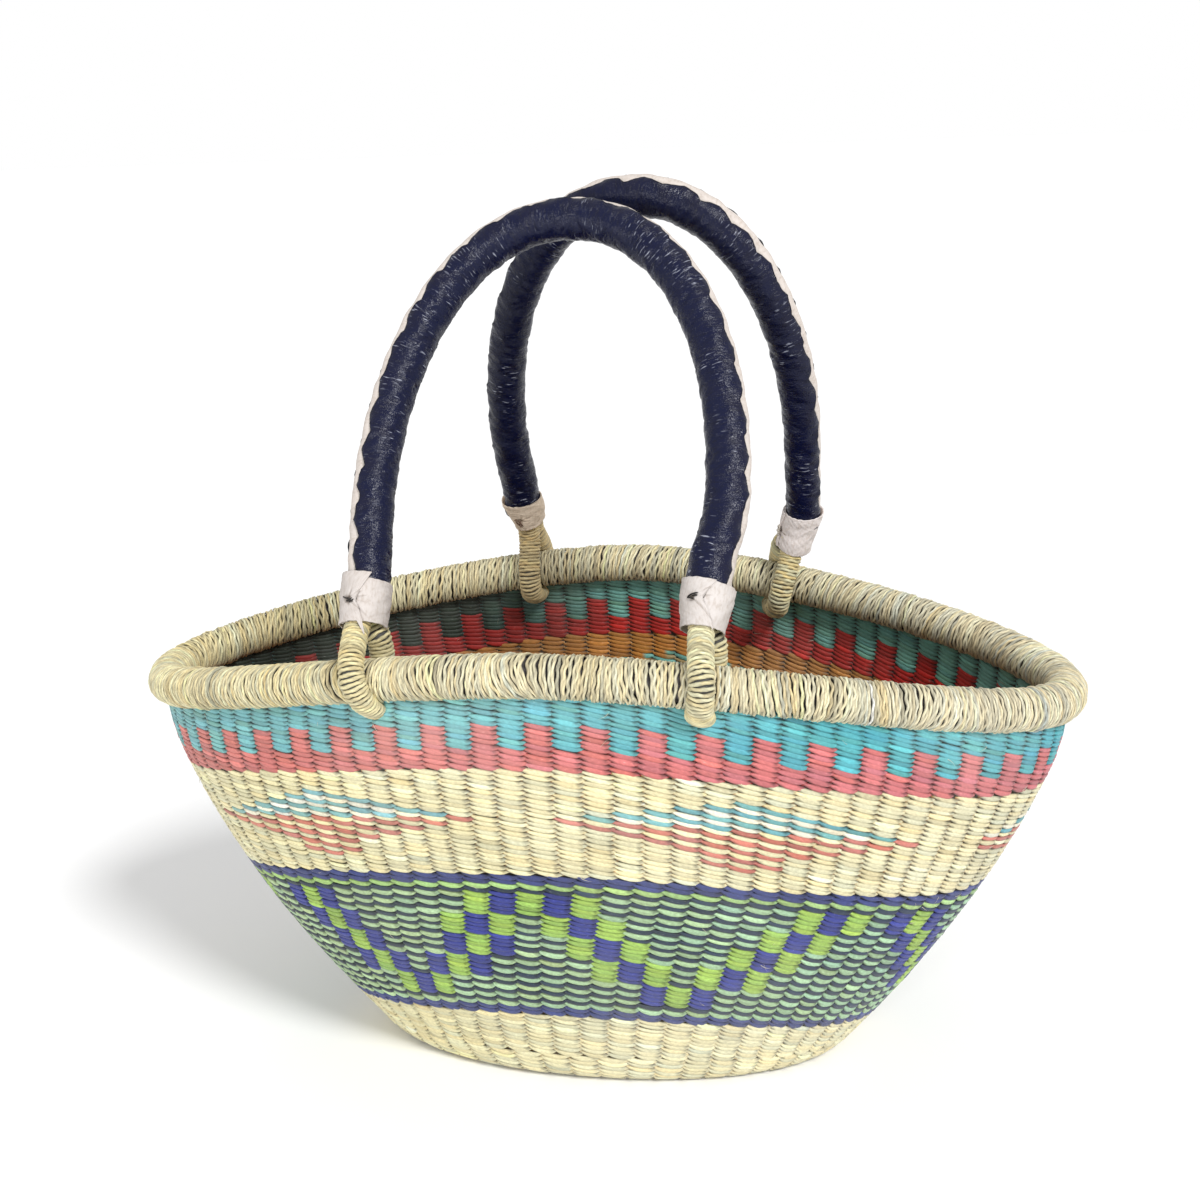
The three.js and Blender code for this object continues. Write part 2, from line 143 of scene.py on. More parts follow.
def smooth_noise(seed: int, x: Array, y: Array | float = 0.0, waves: int = 6) -> Array:
    """Smooth seeded noise from a few waves, the same in each run.

    Args:
        seed: which noise to draw.
        x: place along the first direction, one wave per unit or so.
        y: place along the second direction.
        waves: how many waves are added.

    Returns:
        Values from about -1 to 1, one for each place.
    """
    rng = np.random.default_rng(seed)
    pitches, crosses = (rng.uniform(0.6, 1.9, waves) * rng.choice([-1, 1], waves) for _ in range(2))
    starts = rng.uniform(0, FULL_TURN, waves)
    drawn = zip(pitches, crosses, starts)
    total = sum(np.sin(FULL_TURN * (pitch * x + cross * y) + start) for pitch, cross, start in drawn)
    return total / math.sqrt(2 * waves)


@dataclass(frozen=True)
class BasketShape:
    """The basket's wall, bottom and rim line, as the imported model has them."""

    base_half_length: float = 120.3
    base_half_width: float = 54.8
    rim_half_length: float = 229.8
    rim_half_width: float = 115.4
    tip_height: float = 196.0
    rim_arch: float = 37.7
    half_wall: float = 2.0
    length_belly: float = 53.7
    width_belly: float = 96.9
    tip_tuck: float = 6.3
    tuck_start: float = 0.8
    heel_inset: float = 6.0
    heel_top: float = 7.0
    front_fullness: float = 0.08
    front_arch_extra: float = 0.13
    arch_onset: float = 0.14
    lens_sharpness: float = 0.14
    middle_softness: float = 0.03
    rim_radius: float = 10.2
    middle_y: float = 7.1
    tip_crowding: float = 0.8
    crowding_end: float = 0.66
    lean_growth: float = 0.0906
    lean_limit: float = 0.02
    upright_level: float = 0.26
    probe: float = 0.002

    def wall(self, t: Array, u: Array) -> Array:
        """Points of the wall's middle surface.

        Args:
            t: how far up the wall, from 0 at the base to 1 at the rim's middle line.
            u: angle round the basket, 0 at the right tip and 1.5 pi at the front.

        Returns:
            Points, one for each pair.
        """
        c, s = np.cos(u), np.sin(u)
        side = np.where(s > 0, 1.0, -1.0)
        length = lerp(self.base_half_length, self.rim_half_length + self.tip_tuck, t)
        tuck = np.maximum(0, (t - self.tuck_start) / (1 - self.tuck_start)) ** 2
        length = length + self.length_belly * t * (1 - t) - self.tip_tuck * tuck
        width = lerp(self.base_half_width, self.rim_half_width, t) + self.width_belly * t * (1 - t)
        share = t * (1 + self.arch_onset) / (t + self.arch_onset)
        rise = self.rim_arch * share * (1 - self.front_arch_extra * side)
        soft = (c * c + self.middle_softness) / (1 + self.middle_softness)
        x = length * c * soft ** (self.lens_sharpness * t)
        y = width * (1 - self.front_fullness * side) * s + self.middle_y
        z = self.half_wall + (self.tip_height - self.half_wall) * t + rise * s * s
        return np.stack(np.broadcast_arrays(x, y, z), -1)

    def bottom(self, inset: Array, u: Array) -> Array:
        """Points of the flat bottom, from inset 0 at its edge to 1 at its middle line."""
        corner = self.wall(np.zeros_like(u), u)
        middle = np.array([0.0, self.middle_y, self.half_wall])
        edge = corner + unit(middle - corner) * self.heel_inset
        narrow = self.base_half_width / self.base_half_length
        x = edge[..., 0] * (1 - inset * narrow)
        y = self.middle_y + (edge[..., 1] - self.middle_y) * (1 - inset)
        return np.stack([x, y, np.full_like(x, self.half_wall)], -1)

    def course(self, q: Array, u: Array) -> Array:
        """Points of one surface that runs over the bottom, round the heel and up the wall.

        Args:
            q: from -1 at the middle of the bottom to 0 at its edge, 1 at the top of the
                heel and 2 at the rim's middle line.
            u: angle round the basket.

        Returns:
            Points, one for each pair.
        """
        q, u = np.broadcast_arrays(np.asarray(q, float), np.asarray(u, float))
        start = self.heel_top / self.tip_height
        flat = self.bottom(clamp(-q), u)
        bend = clamp(q)[..., None]
        corner = self.wall(np.zeros_like(u), u)
        top = self.wall(np.full_like(u, start), u)
        heel = (1 - bend) ** 2 * self.bottom(np.zeros_like(u), u)
        heel = heel + 2 * bend * (1 - bend) * corner + bend**2 * top
        upright = self.wall(start + np.clip(q - 1, 0, None) * (1 - start), u)
        chosen = np.where((q <= 0)[..., None], flat, heel)
        return np.where((q >= 1)[..., None], upright, chosen)

    def frame(self, q: Array, u: Array) -> tuple[Array, Array, Array]:
        """Points of the course surface with their directions towards the rim and outwards."""
        up = unit(self.course(q + self.probe, u) - self.course(q - self.probe, u))
        round_way = unit(self.course(q, u + self.probe) - self.course(q, u - self.probe))
        return self.course(q, u), up, unit(np.cross(round_way, up))

    def level(self, height: float) -> float:
        """The course place q of a height that was measured at the tips."""
        start = self.heel_top / self.tip_height
        return 1 + (height / self.tip_height - start) / (1 - start)

    def angles(self, q: float, columns: Array, count: int) -> Array:
        """Angles round the basket of places counted in columns from near the left tip.

        The columns are widest in the middle of each side, more so low on the wall, and
        lean a little, as they do where the stakes spread from the bottom.

        Args:
            q: place across the courses.
            columns: places in columns, from the left tip along the front.
            count: how many columns go all round.

        Returns:
            One angle for each place.
        """
        rise = max(0.0, q - 1) * (1 - self.heel_top / self.tip_height)
        crowd = self.tip_crowding * max(0.0, self.crowding_end - rise) ** 2
        lean = min(self.lean_limit, self.lean_growth * (rise - self.upright_level))
        share = (2 * columns / count + lean) % 2
        share = (share + crowd * np.sin(FULL_TURN * (share - 0.5)) / FULL_TURN) % 2
        found = np.zeros_like(columns)
        for side, first in ((0, math.pi), (1, 0.0)):
            u = np.linspace(first, first + math.pi, 241)
            length = arc_length(self.course(np.full_like(u, q), u))
            here = (share >= side) & (share <= side + 1)
            found[here] = np.interp((share[here] - side) * length[-1], length, u)
        return found

    def rim_frame(self, u: Array) -> tuple[Array, Array, Array]:
        """Points of the rim's middle line with their directions down the wall and outwards."""
        one = np.ones_like(u)
        along = unit(self.wall(one, u + self.probe) - self.wall(one, u - self.probe))
        point = self.wall(one, u)
        down = self.wall(one - self.rim_radius / self.tip_height, u) - point
        down = unit(down - along * np.sum(down * along, -1, keepdims=True))
        return point, down, np.cross(down, along)


class MeshDraft:
    """Gathers tubes and sheets of quads and makes one Blender mesh of them."""

    STRAND_OFFSET = 37.7
    STRIPS_PER_COLUMN = 24
    BAKE_MARGIN = 0.05

    def __init__(self) -> None:
        """Starts with nothing gathered."""
        self.points: list[Array] = []
        self.dyes: list[Array] = []
        self.corners: list[Array] = []
        self.fibres: list[Array] = []
        self.strips: list[Array] = []
        self.caps: list[Array] = []
        self.total = 0

    def add_tubes(self, points: Array, dyes: Array, closed: bool = False) -> None:
        """Adds tubes of the same number of steps and sides.

        Args:
            points: places in millimetres, as tubes, steps, sides and xyz.
            dyes: colours as tubes, steps and rgb, or as tubes, steps, sides and rgb.
            closed: whether each tube's end joins its start.
        """
        self._add_grid(points, dyes, closed, True)

    def add_sheet(self, points: Array, dyes: Array) -> None:
        """Adds an open sheet as rows, columns and xyz, with one colour for each row."""
        self._add_grid(points[None], dyes[None], False, False)

    def _add_grid(self, points: Array, dyes: Array, closed: bool, tube: bool) -> None:
        """Adds grids of quads, joined end to end or round if asked, with their two maps."""
        tubes, steps, sides, _ = points.shape
        index = self.total + np.arange(tubes * steps * sides).reshape(tubes, steps, sides)
        spans = steps if closed else steps - 1
        rounds = sides if tube else sides - 1
        a, b = np.meshgrid(np.arange(spans), np.arange(rounds), indexing="ij")
        after, beside = (a + 1) % steps, (b + 1) % sides
        quads = [index[:, a, b], index[:, after, b], index[:, after, beside], index[:, a, beside]]
        hops = np.linalg.norm(np.diff(points[:, :, 0], axis=1, append=points[:, :1, 0]), axis=-1)
        length = np.concatenate([np.zeros((tubes, 1)), np.cumsum(hops, axis=1)], axis=1)
        along = np.stack([length[:, a], length[:, a + 1], length[:, a + 1], length[:, a]], -1)
        around = np.broadcast_to(np.stack([b, b, b + 1, b + 1], -1) / rounds, along.shape)
        share = np.broadcast_to(np.stack([a, a + 1, a + 1, a], -1) / spans, along.shape)
        offset = (len(self.strips) + np.arange(tubes))[:, None, None, None] * self.STRAND_OFFSET
        self.fibres.append(np.stack([along + offset, around], -1).reshape(-1, 2))
        self.strips.extend(np.stack([share, around], -1).reshape(tubes, -1, 2))
        self.points.append(points.reshape(-1, 3))
        whole = dyes if dyes.ndim == 4 else np.repeat(dyes[:, :, None], sides, axis=2)
        self.dyes.append(whole.reshape(-1, 3))
        self.corners.append(np.stack(quads, -1).reshape(-1, 4))
        if tube and not closed:
            self.caps.extend((*index[:, 0], *index[:, -1, ::-1]))
        self.total += tubes * steps * sides

    def _bake_map(self) -> Array:
        """Lays one strip of the square under the other, for the colours when they are baked."""
        columns = max(1, round(math.sqrt(len(self.strips) / self.STRIPS_PER_COLUMN)))
        rows = math.ceil(len(self.strips) / columns)
        grid = np.array([columns, rows])
        laid = []
        for place, strip in enumerate(self.strips):
            corner = np.array([place // rows / columns, place % rows / rows])
            laid.append(corner + (strip * (1 - 2 * self.BAKE_MARGIN) + self.BAKE_MARGIN) / grid)
        return np.concatenate(laid)

    def build(self, name: str, material: bpy.types.Material) -> bpy.types.Object:
        """Makes the mesh object, in metres, and links it to the scene.

        Args:
            name: the piece's name.
            material: its finish.

        Returns:
            The new object.
        """
        quads = np.concatenate(self.corners)
        sizes = np.array([4] * len(quads) + [len(cap) for cap in self.caps])
        corners = np.concatenate([quads.ravel(), *self.caps])
        mesh = bpy.data.meshes.new(name)
        mesh.vertices.add(self.total)
        points = np.concatenate(self.points) * MM
        mesh.vertices.foreach_set("co", points.astype(np.float32).ravel())
        mesh.loops.add(len(corners))
        mesh.loops.foreach_set("vertex_index", corners.astype(np.int32))
        mesh.polygons.add(len(sizes))
        starts = np.cumsum(sizes) - sizes
        mesh.polygons.foreach_set("loop_start", starts.astype(np.int32))
        spare = np.zeros((len(corners) - quads.size, 2))
        for label, places in (("OFBake", self._bake_map()), ("fibre", np.concatenate(self.fibres))):
            layer = mesh.uv_layers.new(name=label)
            layer.data.foreach_set("uv", np.concatenate([places, spare]).astype(np.float32).ravel())
        dye = mesh.attributes.new("dye", "FLOAT_COLOR", "POINT")
        colours = np.insert(np.concatenate(self.dyes), 3, 1.0, axis=1)
        dye.data.foreach_set("color", colours.astype(np.float32).ravel())
        mesh.polygons.foreach_set("use_smooth", np.ones(len(sizes), bool))
        mesh.materials.append(material)
        mesh.update(calc_edges=True)
        mesh.validate()
        piece = bpy.data.objects.new(name, mesh)
        bpy.context.scene.collection.objects.link(piece)
        return piece


@dataclass(frozen=True)
class Workshop:
    """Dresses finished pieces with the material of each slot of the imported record."""

    finishes: dict[str, bpy.types.Material]

    def settle(self, draft: MeshDraft, name: str, body: str, node: str, slot: str) -> None:
        """Makes a piece that rides on its body and takes its node's place.

        Args:
            draft: the piece's mesh.
            name: its name.
            body: the moving or standing body that it belongs to.
            node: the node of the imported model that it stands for.
            slot: the finish that it wears.
        """
        piece = draft.build(name, self.finishes[slot])
        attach(piece, body)
        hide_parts(node)
        LOG.info("%s: %d faces", name, len(piece.data.polygons))


class Dye(Enum):
    """Dyed straw, with its colour at the left and right of the basket, outside then inside. The inside
    colours are darker copies of the dye that paint the shade inside the basket, mostly darker towards the
    left tip; for natural straw they also hold some browning with age.
    """

    NATURAL = (0xE4DCAE, 0xE3DBB4, 0xBA7A2E, 0xC08034)
    ROPE = (0xE8D9A0, 0xEFE6B8, 0xB4823C, 0xBC8A44)
    RIM = (0xF0E2AE, 0xF2E8C4, 0xB4823C, 0xBC8A44)
    BLEACHED = (0xF1ECD4, 0xF1ECD4, 0xB39A66, 0xB39A66)
    TURQUOISE = (0x6EB0B2, 0x4AA6B0, 0x0E2414, 0x72B0A2)
    CORAL = (0xC87068, 0xC66E72, 0x9C140C, 0xB81C12)
    DUSTY_TURQUOISE = (0x84B4B4, 0x6CACB4, 0x0E2414, 0x72B0A2)
    DUSTY_CORAL = (0xC47C6C, 0xC07468, 0x9C140C, 0xB81C12)
    NAVY_BLOCK = (0x303A8E, 0x303A8E, 0x252C66, 0x252C66)
    NAVY_BORDER = (0x39437C, 0x39437C, 0x22284C, 0x22284C)
    NAVY_ROW = (0x24363F, 0x253650, 0x1E2C34, 0x1E2838)
    GREEN = (0xAECA98, 0xA2C8A2, 0x4E7A55, 0x4E7A55)
    LIME = (0x9AC056, 0xA2C65A, 0x5F8A30, 0x5F8A30)
    PALE_LIME = (0xA0C46C, 0xA2C686, 0x54803E, 0x54803E)

    @property
    def outside(self) -> tuple[Colour, Colour]:
        """Colours at the left and right tips, seen from outside."""
        return linear(self.value[0]), linear(self.value[1])

    @property
    def inside(self) -> tuple[Colour, Colour]:
        """Colours at the left and right tips, seen from inside: darker copies of the dye that are painted
        shade.
        """
        return linear(self.value[2]), linear(self.value[3])


DYES = tuple(Dye)
STRAND_WIDTHS = {Dye.GREEN: 1.08, Dye.NAVY_ROW: 0.92}
WIDTH_OF_DYE = np.array([STRAND_WIDTHS.get(dye, 1.0) for dye in DYES])
SHADED_STAKE = linear(0x3A2E1C)
STRAY_FIBRE = linear(0xEDE6CC)
RIM_BUNDLE_SHADE = linear(0x3A3034)
LOOP_CORE_SHADE = 0.03
Pattern = Callable[[int, Array], Array]


def rightness(across: Array) -> Array:
    """The right-hand dye's share at places from -1 at the left tip to 1 at the right one."""
    return clamp(across / 1.6 + 0.5)[..., None]


def plain(dye: Dye) -> Pattern:
    """A pattern of one dye all over."""

    def chosen(row: int, columns: Array) -> Array:
        """The dye's number for each column."""
        return np.full(len(columns), DYES.index(dye))

    return chosen


@dataclass(frozen=True)
class Zigzag:
    """Blocks of lime and navy in a zigzag, on rows of green and dark navy by turns.

    Rows are counted from the top of the band, and columns from the left tip. The zigzag is
    a row of Vs, each with its lowest column in bottoms. The right arm of the V at merged_arm
    stands a column nearer from its third block up, where it meets the next V.
    """

    bottoms: tuple[int, ...] = (12, 23, 37, 49, 61, 73)
    block_rows: int = 5
    first_row: int = 4
    arm_steps: tuple[int, ...] = (0, 2, 3, 4, 5)
    border_rows: tuple[int, ...] = (0, 1, 31, 32)
    lime_row: int = 2
    merged_arm: int = 12
    merged_climb: int = 3
    columns: int = 76

    def __call__(self, row: int, columns: Array) -> Array:
        """The dye's number for each column of one row."""
        if row in self.border_rows:
            return plain(Dye.NAVY_BORDER)(row, columns)
        if row == self.lime_row:
            return plain(Dye.PALE_LIME)(row, columns)
        dyes = plain(Dye.GREEN if row % 2 == 0 else Dye.NAVY_ROW)(row, columns)
        block = (row - self.first_row) // self.block_rows
        if not 0 <= block < self.block_rows:
            return dyes
        climb = self.block_rows - 1 - block
        for number, bottom in enumerate(self.bottoms):
            for way in (-1, 1):
                self._lay_arm(dyes, bottom, number % 2 == 0, climb, way)
        return dyes

    def _lay_arm(self, dyes: Array, bottom: int, navy_bottom: bool, climb: int, way: int) -> None:
        """Lays three blocks of one arm of a V.

        Args:
            dyes: the row's dye numbers, which are changed.
            bottom: the column under the V.
            navy_bottom: whether the lowest middle block is navy.
            climb: how many block rows above the lowest.
            way: -1 for the left arm and 1 for the right one.
        """
        centre = bottom + way * self.arm_steps[climb]
        navy_middle = navy_bottom if climb == 0 else not navy_bottom
        if bottom == self.merged_arm and way == 1 and climb >= self.merged_climb:
            centre -= 1
            navy_middle = not navy_middle
        middle, beside = (Dye.NAVY_BLOCK, Dye.LIME) if navy_middle else (Dye.LIME, Dye.NAVY_BLOCK)
        for step, dye in ((-1, beside), (0, middle), (1, beside)):
            dyes[(centre + step) % self.columns] = DYES.index(dye)


@dataclass(frozen=True)
class Lozenges:
    """Long diamonds of every second stitch, turquoise above their middle row and coral below."""

    centres: tuple[int, ...] = (10, 26, 41, 58, 75)
    half_width: float = 6.6
    middle_row: int = 10
    rise: float = 6.5
    drop: float = 8.5
    columns: int = 82

    def __call__(self, row: int, columns: Array) -> Array:
        """The dye's number for each column of one row."""
        dyes = plain(Dye.NATURAL)(row, columns)
        above = row < self.middle_row
        reach = (self.middle_row - row) / self.rise if above else (row - self.middle_row) / self.drop
        striped = (columns + row) % 2 == 0
        for centre in self.centres:
            away = (columns - centre + self.columns / 2) % self.columns - self.columns / 2
            inside = np.abs(away) <= self.half_width * (1 - reach)
            dyes[inside & striped] = DYES.index(Dye.DUSTY_TURQUOISE if above else Dye.DUSTY_CORAL)
            if above:
                dyes[inside & ~striped] = DYES.index(Dye.BLEACHED)
        return dyes


@dataclass(frozen=True)
class Teeth:
    """Coral teeth one column wide between plain turquoise rows and plain coral ones."""

    tooth_rows: range = range(7, 12)

    def __call__(self, row: int, columns: Array) -> Array:
        """The dye's number for each column of one row."""
        if row < self.tooth_rows.start:
            return plain(Dye.TURQUOISE)(row, columns)
        if row >= self.tooth_rows.stop:
            return plain(Dye.CORAL)(row, columns)
        return np.where(columns % 2 == 1, DYES.index(Dye.CORAL), DYES.index(Dye.TURQUOISE))


@dataclass(frozen=True)
class Band:
    """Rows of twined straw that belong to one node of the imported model.

    Bottom and top are course places. First_row is the number of the pattern's rows above it.
    """

    name: str
    node: str
    slot: str
    bottom: float
    top: float
    rows: int
    columns: int
    pattern: Pattern
    first_row: int = 0


@dataclass
class Weave:
    """Twines two strands at a time round the stakes, row by row.

    Attributes:
        swing: how far a strand goes out and in round the stakes.
        flatness: how quickly it goes from one side to the other.
        reach: how much more of it lies outside than inside.
        beats: where each stitch has its points, as shares of its column.
        heights: a strand's half height where it dives and in mid-stitch, in row pitches.
        thicknesses: its half thickness at the same two places.
        slants: how much a stitch leans, low on the wall and at its top, in row pitches.
        sags: how much a stitch hangs at its ends, likewise.
        plays: how much stitches differ in swing, in lift and in height.
    """

    shape: BasketShape
    shop: Workshop
    swing: float = 1.15
    flatness: float = 2.2
    reach: float = 0.45
    beats: tuple[float, ...] = (0.02, 0.14, 0.3, 0.5, 0.7, 0.86)
    heights: tuple[float, float] = (0.36, 0.7)
    thicknesses: tuple[float, float] = (0.95, 0.7)
    slants: tuple[float, float] = (0.16, 0.38)
    sags: tuple[float, float] = (0.52, 0.12)
    sag_middle: float = 0.6
    plays: tuple[float, float, float] = (0.1, 0.15, 0.1)
    sides: int = 6
    row_wander: float = 0.3
    wander_waves: float = 9
    wander_seed: int = 5
    side_shade: float = 0.7
    tuck_shade: float = 0.08
    # How far the inside's painted shade fades from its left colour to its right one, in millimetres.
    inside_shade_fade: float = 90.0
    stake_seam: float = 0.05
    stake_thickness: float = 1.0
    points_per_stake: int = 4
    cells_per_stray: int = 26
    rng: np.random.Generator = field(default_factory=lambda: np.random.default_rng(11))

    def build(self, band: Band) -> None:
        """Makes one band, which takes its node's place."""
        draft = MeshDraft()
        levels = self._levels(band)
        probes = self.shape.course(levels[:2], np.full(2, FRONT))
        pitch = float(np.linalg.norm(probes[1] - probes[0]))
        for row, q in enumerate(levels):
            self._add_row(draft, band, row, float(q), pitch)
        self._add_stakes(draft, band)
        if band.bottom >= 1:
            self._add_strays(draft, band)
        self.shop.settle(draft, band.name, "basket", band.node, band.slot)

    def _levels(self, band: Band) -> Array:
        """Course places of a band's evenly spaced rows, from the top row down."""
        q = np.linspace(band.bottom, band.top, 200)
        length = arc_length(self.shape.course(q, np.full_like(q, FRONT)))
        places = (np.arange(band.rows)[::-1] + 0.5) / band.rows * length[-1]
        return np.interp(places, length, q)

    def _add_row(self, draft: MeshDraft, band: Band, row: int, q: float, pitch: float) -> None:
        """Adds the two strands of one row.

        Args:
            draft: the mesh that they go into.
            band: the band that the row belongs to.
            row: the row's number from the top of the band.
            q: the row's course place.
            pitch: the distance from row to row.
        """
        count = band.columns
        places = (np.arange(count)[:, None] + np.array(self.beats)).ravel()
        wander = self.row_wander * smooth_noise(
            self.wander_seed, places / count * self.wander_waves, row * 0.11
        )
        u = self.shape.angles(q, places, count)
        point, up, out = self.shape.frame(np.full_like(u, q), u)
        number = band.pattern(row + band.first_row, np.arange(count))
        width = np.repeat(WIDTH_OF_DYE[number], len(self.beats))
        turn = circle(self.sides)
        rise = clamp(q - 1)
        slant, sag = lerp(*self.slants, rise), lerp(*self.sags, rise)
        tubes, dyes = [], []
        for strand in (0, 1):
            wave = math.pi * (places - 0.5 + strand)
            over = np.cos(wave)
            loose, lift, plump = (self._per_stitch(places, count, spread) for spread in self.plays)
            radial = self.swing * np.clip(self.flatness * over + self.reach, -1, 1) * (1 + loose)
            climb = -slant * pitch * np.sin(wave) - sag * pitch * (np.abs(over) - self.sag_middle)
            height = lerp(*self.heights, np.abs(over) ** 0.8) * pitch * width * (1 + plump)
            thick = lerp(*self.thicknesses, np.abs(over) ** 0.7)
            centre = point + up * (climb + lift + wander)[:, None] + out * radial[:, None]
            tubes.append(centre[:, None] + spokes(up * height[:, None], out * thick[:, None], turn))
            colour = self._stitch_colours(number, places, over, point[:, 0], np.sin(turn))
            dyes.append(colour * self._stitch_shade(wave, turn, places, count)[..., None])
        draft.add_tubes(np.stack(tubes), np.stack(dyes), closed=True)

    def _per_stitch(self, places: Array, count: int, spread: float) -> Array:
        """Random amounts that change slowly from one stitch to the next.

        Args:
            places: places along the row in columns.
            count: how many columns the row has.
            spread: how much the amounts differ.

        Returns:
            One amount for each place.
        """
        drawn = self.rng.normal(0, spread, count)
        return np.interp(places - 0.5, np.arange(count), drawn, period=count)

    def _stitch_shade(self, wave: Array, turn: Array, places: Array, count: int) -> Array:
        """Painted shade where rows touch, and short painted shadow dashes where some stitches dive under
        others.

        Args:
            wave: the strand's swing, as an angle.
            turn: angles round its section.
            places: places along the row in columns.
            count: how many columns the row has.

        Returns:
            Shades as places and points of the section.
        """
        shade = lerp(self.side_shade, 1.0, clamp(np.abs(np.sin(turn)) / 0.8))[None, :]
        tucked = clamp(1.7 * np.sign(np.sin(wave))[:, None] * np.cos(turn)[None, :])
        tucked = tucked * clamp(1.6 - 2.2 * np.abs(np.cos(wave)))[:, None]
        tucked = tucked * clamp(2.2 * self.rng.random(count) - 0.2)[places.astype(int), None]
        return shade * lerp(1.0, self.tuck_shade, tucked)

    def _stitch_colours(
        self, number: Array, places: Array, over: Array, x: Array, facing: Array
    ) -> Array:
        """Colours along one strand, each stitch a little different, with the darker inside colour as
        painted shade where the strand lies inside or its section faces in.

        Args:
            number: the dye's number for each column.
            places: places along the row in columns.
            over: above nought where the strand is outside.
            x: how far to the right each place is.
            facing: how far each point of the section faces out of the basket, from -1 to 1.

        Returns:
            Colours as places, points of the section and rgb.
        """
        outside = np.array([dye.outside for dye in DYES])
        inside = np.array([dye.inside for dye in DYES])
        column = places.astype(int)
        beside = np.where(places % 1 < 0.5, column - 1, column + 1) % len(number)
        kind = number[np.where(over > -1e-6, column, beside)]
        shown = lerp(outside[kind, 0], outside[kind, 1], rightness(x / self.shape.rim_half_length))
        # Painted shade: the inside colour, darker left of the middle, goes where the strand is inside or
        # faces in.
        shaded_inside = lerp(inside[kind, 0], inside[kind, 1], clamp(x / self.inside_shade_fade + 1)[:, None])
        share = clamp(over[:, None] * 3.5 + 0.5 + facing)[..., None]
        colour = lerp(shaded_inside[:, None], shown[:, None], share)
        bright = np.exp(self.rng.normal(0, 0.1, len(number)))[column][:, None, None]
        warm = self.rng.normal(0, 0.035, len(number))[column]
        tint = np.stack([1 + warm, np.ones_like(warm), 1 - 1.6 * warm], -1)[:, None]
        pale = np.where(self.rng.random(len(number)) < 0.08, 1.25, 1.0)[column][:, None, None]
        return np.clip(colour * bright * tint * pale, 0, 0.95)

    def _add_stakes(self, draft: MeshDraft, band: Band) -> None:
        """Adds the upright stakes that the strands go round, as one ribbed sheet on each side, painted
        dark brown as the shade in the gaps of the weave and darker still between the ribs.
        """
        places = np.arange(band.columns * self.points_per_stake + 1) / self.points_per_stake
        rib = np.abs(np.sin(math.pi * places))
        half = lerp(self.stake_seam, self.stake_thickness, rib)
        # Painted shade: dark stake colour, darker where two stakes meet.
        shade = lerp(0.35, 1.0, rib)[:, None] * np.array(SHADED_STAKE)
        levels = np.linspace(band.bottom, band.top, max(3, band.rows // 2 + 1))
        for way in (-1, 1):
            rows = []
            for q in levels:
                u = self.shape.angles(float(q), places, band.columns)
                point, _, out = self.shape.frame(np.full_like(u, q), u)
                rows.append(point + out * (way * half)[:, None])
            draft.add_sheet(np.stack(rows, 1)[:, ::way], shade)

    def _add_strays(self, draft: MeshDraft, band: Band) -> None:
        """Adds short loose fibres that stand out of the weave on both sides."""
        steps, sides, thick, proud = 7, 3, 0.17, 1.7
        count = band.rows * band.columns // self.cells_per_stray
        rng = self.rng
        q = rng.uniform(band.bottom, band.top, count)
        point, up, out = self.shape.frame(q, rng.uniform(0, FULL_TURN, count))
        outward = out * rng.choice([-1.0, 1.0], (count, 1))
        heading = rng.uniform(0, FULL_TURN, (count, 1))
        way = up * np.sin(heading) + np.cross(up, out) * np.cos(heading)
        curl = np.cross(way, out) * rng.normal(0, 1.3, (count, 1))
        share = np.linspace(0, 1, steps)[None, :, None]
        length = rng.uniform(2, 6, (count, 1, 1))
        path = (point + outward * proud)[:, None] + way[:, None] * share * length
        path = path + curl[:, None] * share**2 + outward[:, None] * np.sin(2.4 * share) * 0.9
        ring = spokes(up, out, circle(sides))[:, None] * thick * (1.05 - share[..., None])
        tone = np.array(STRAY_FIBRE) * rng.uniform(0.6, 1.0, (count, 1, 1))
        draft.add_tubes(path[:, :, None] + ring, np.broadcast_to(tone, (count, steps, 3)))


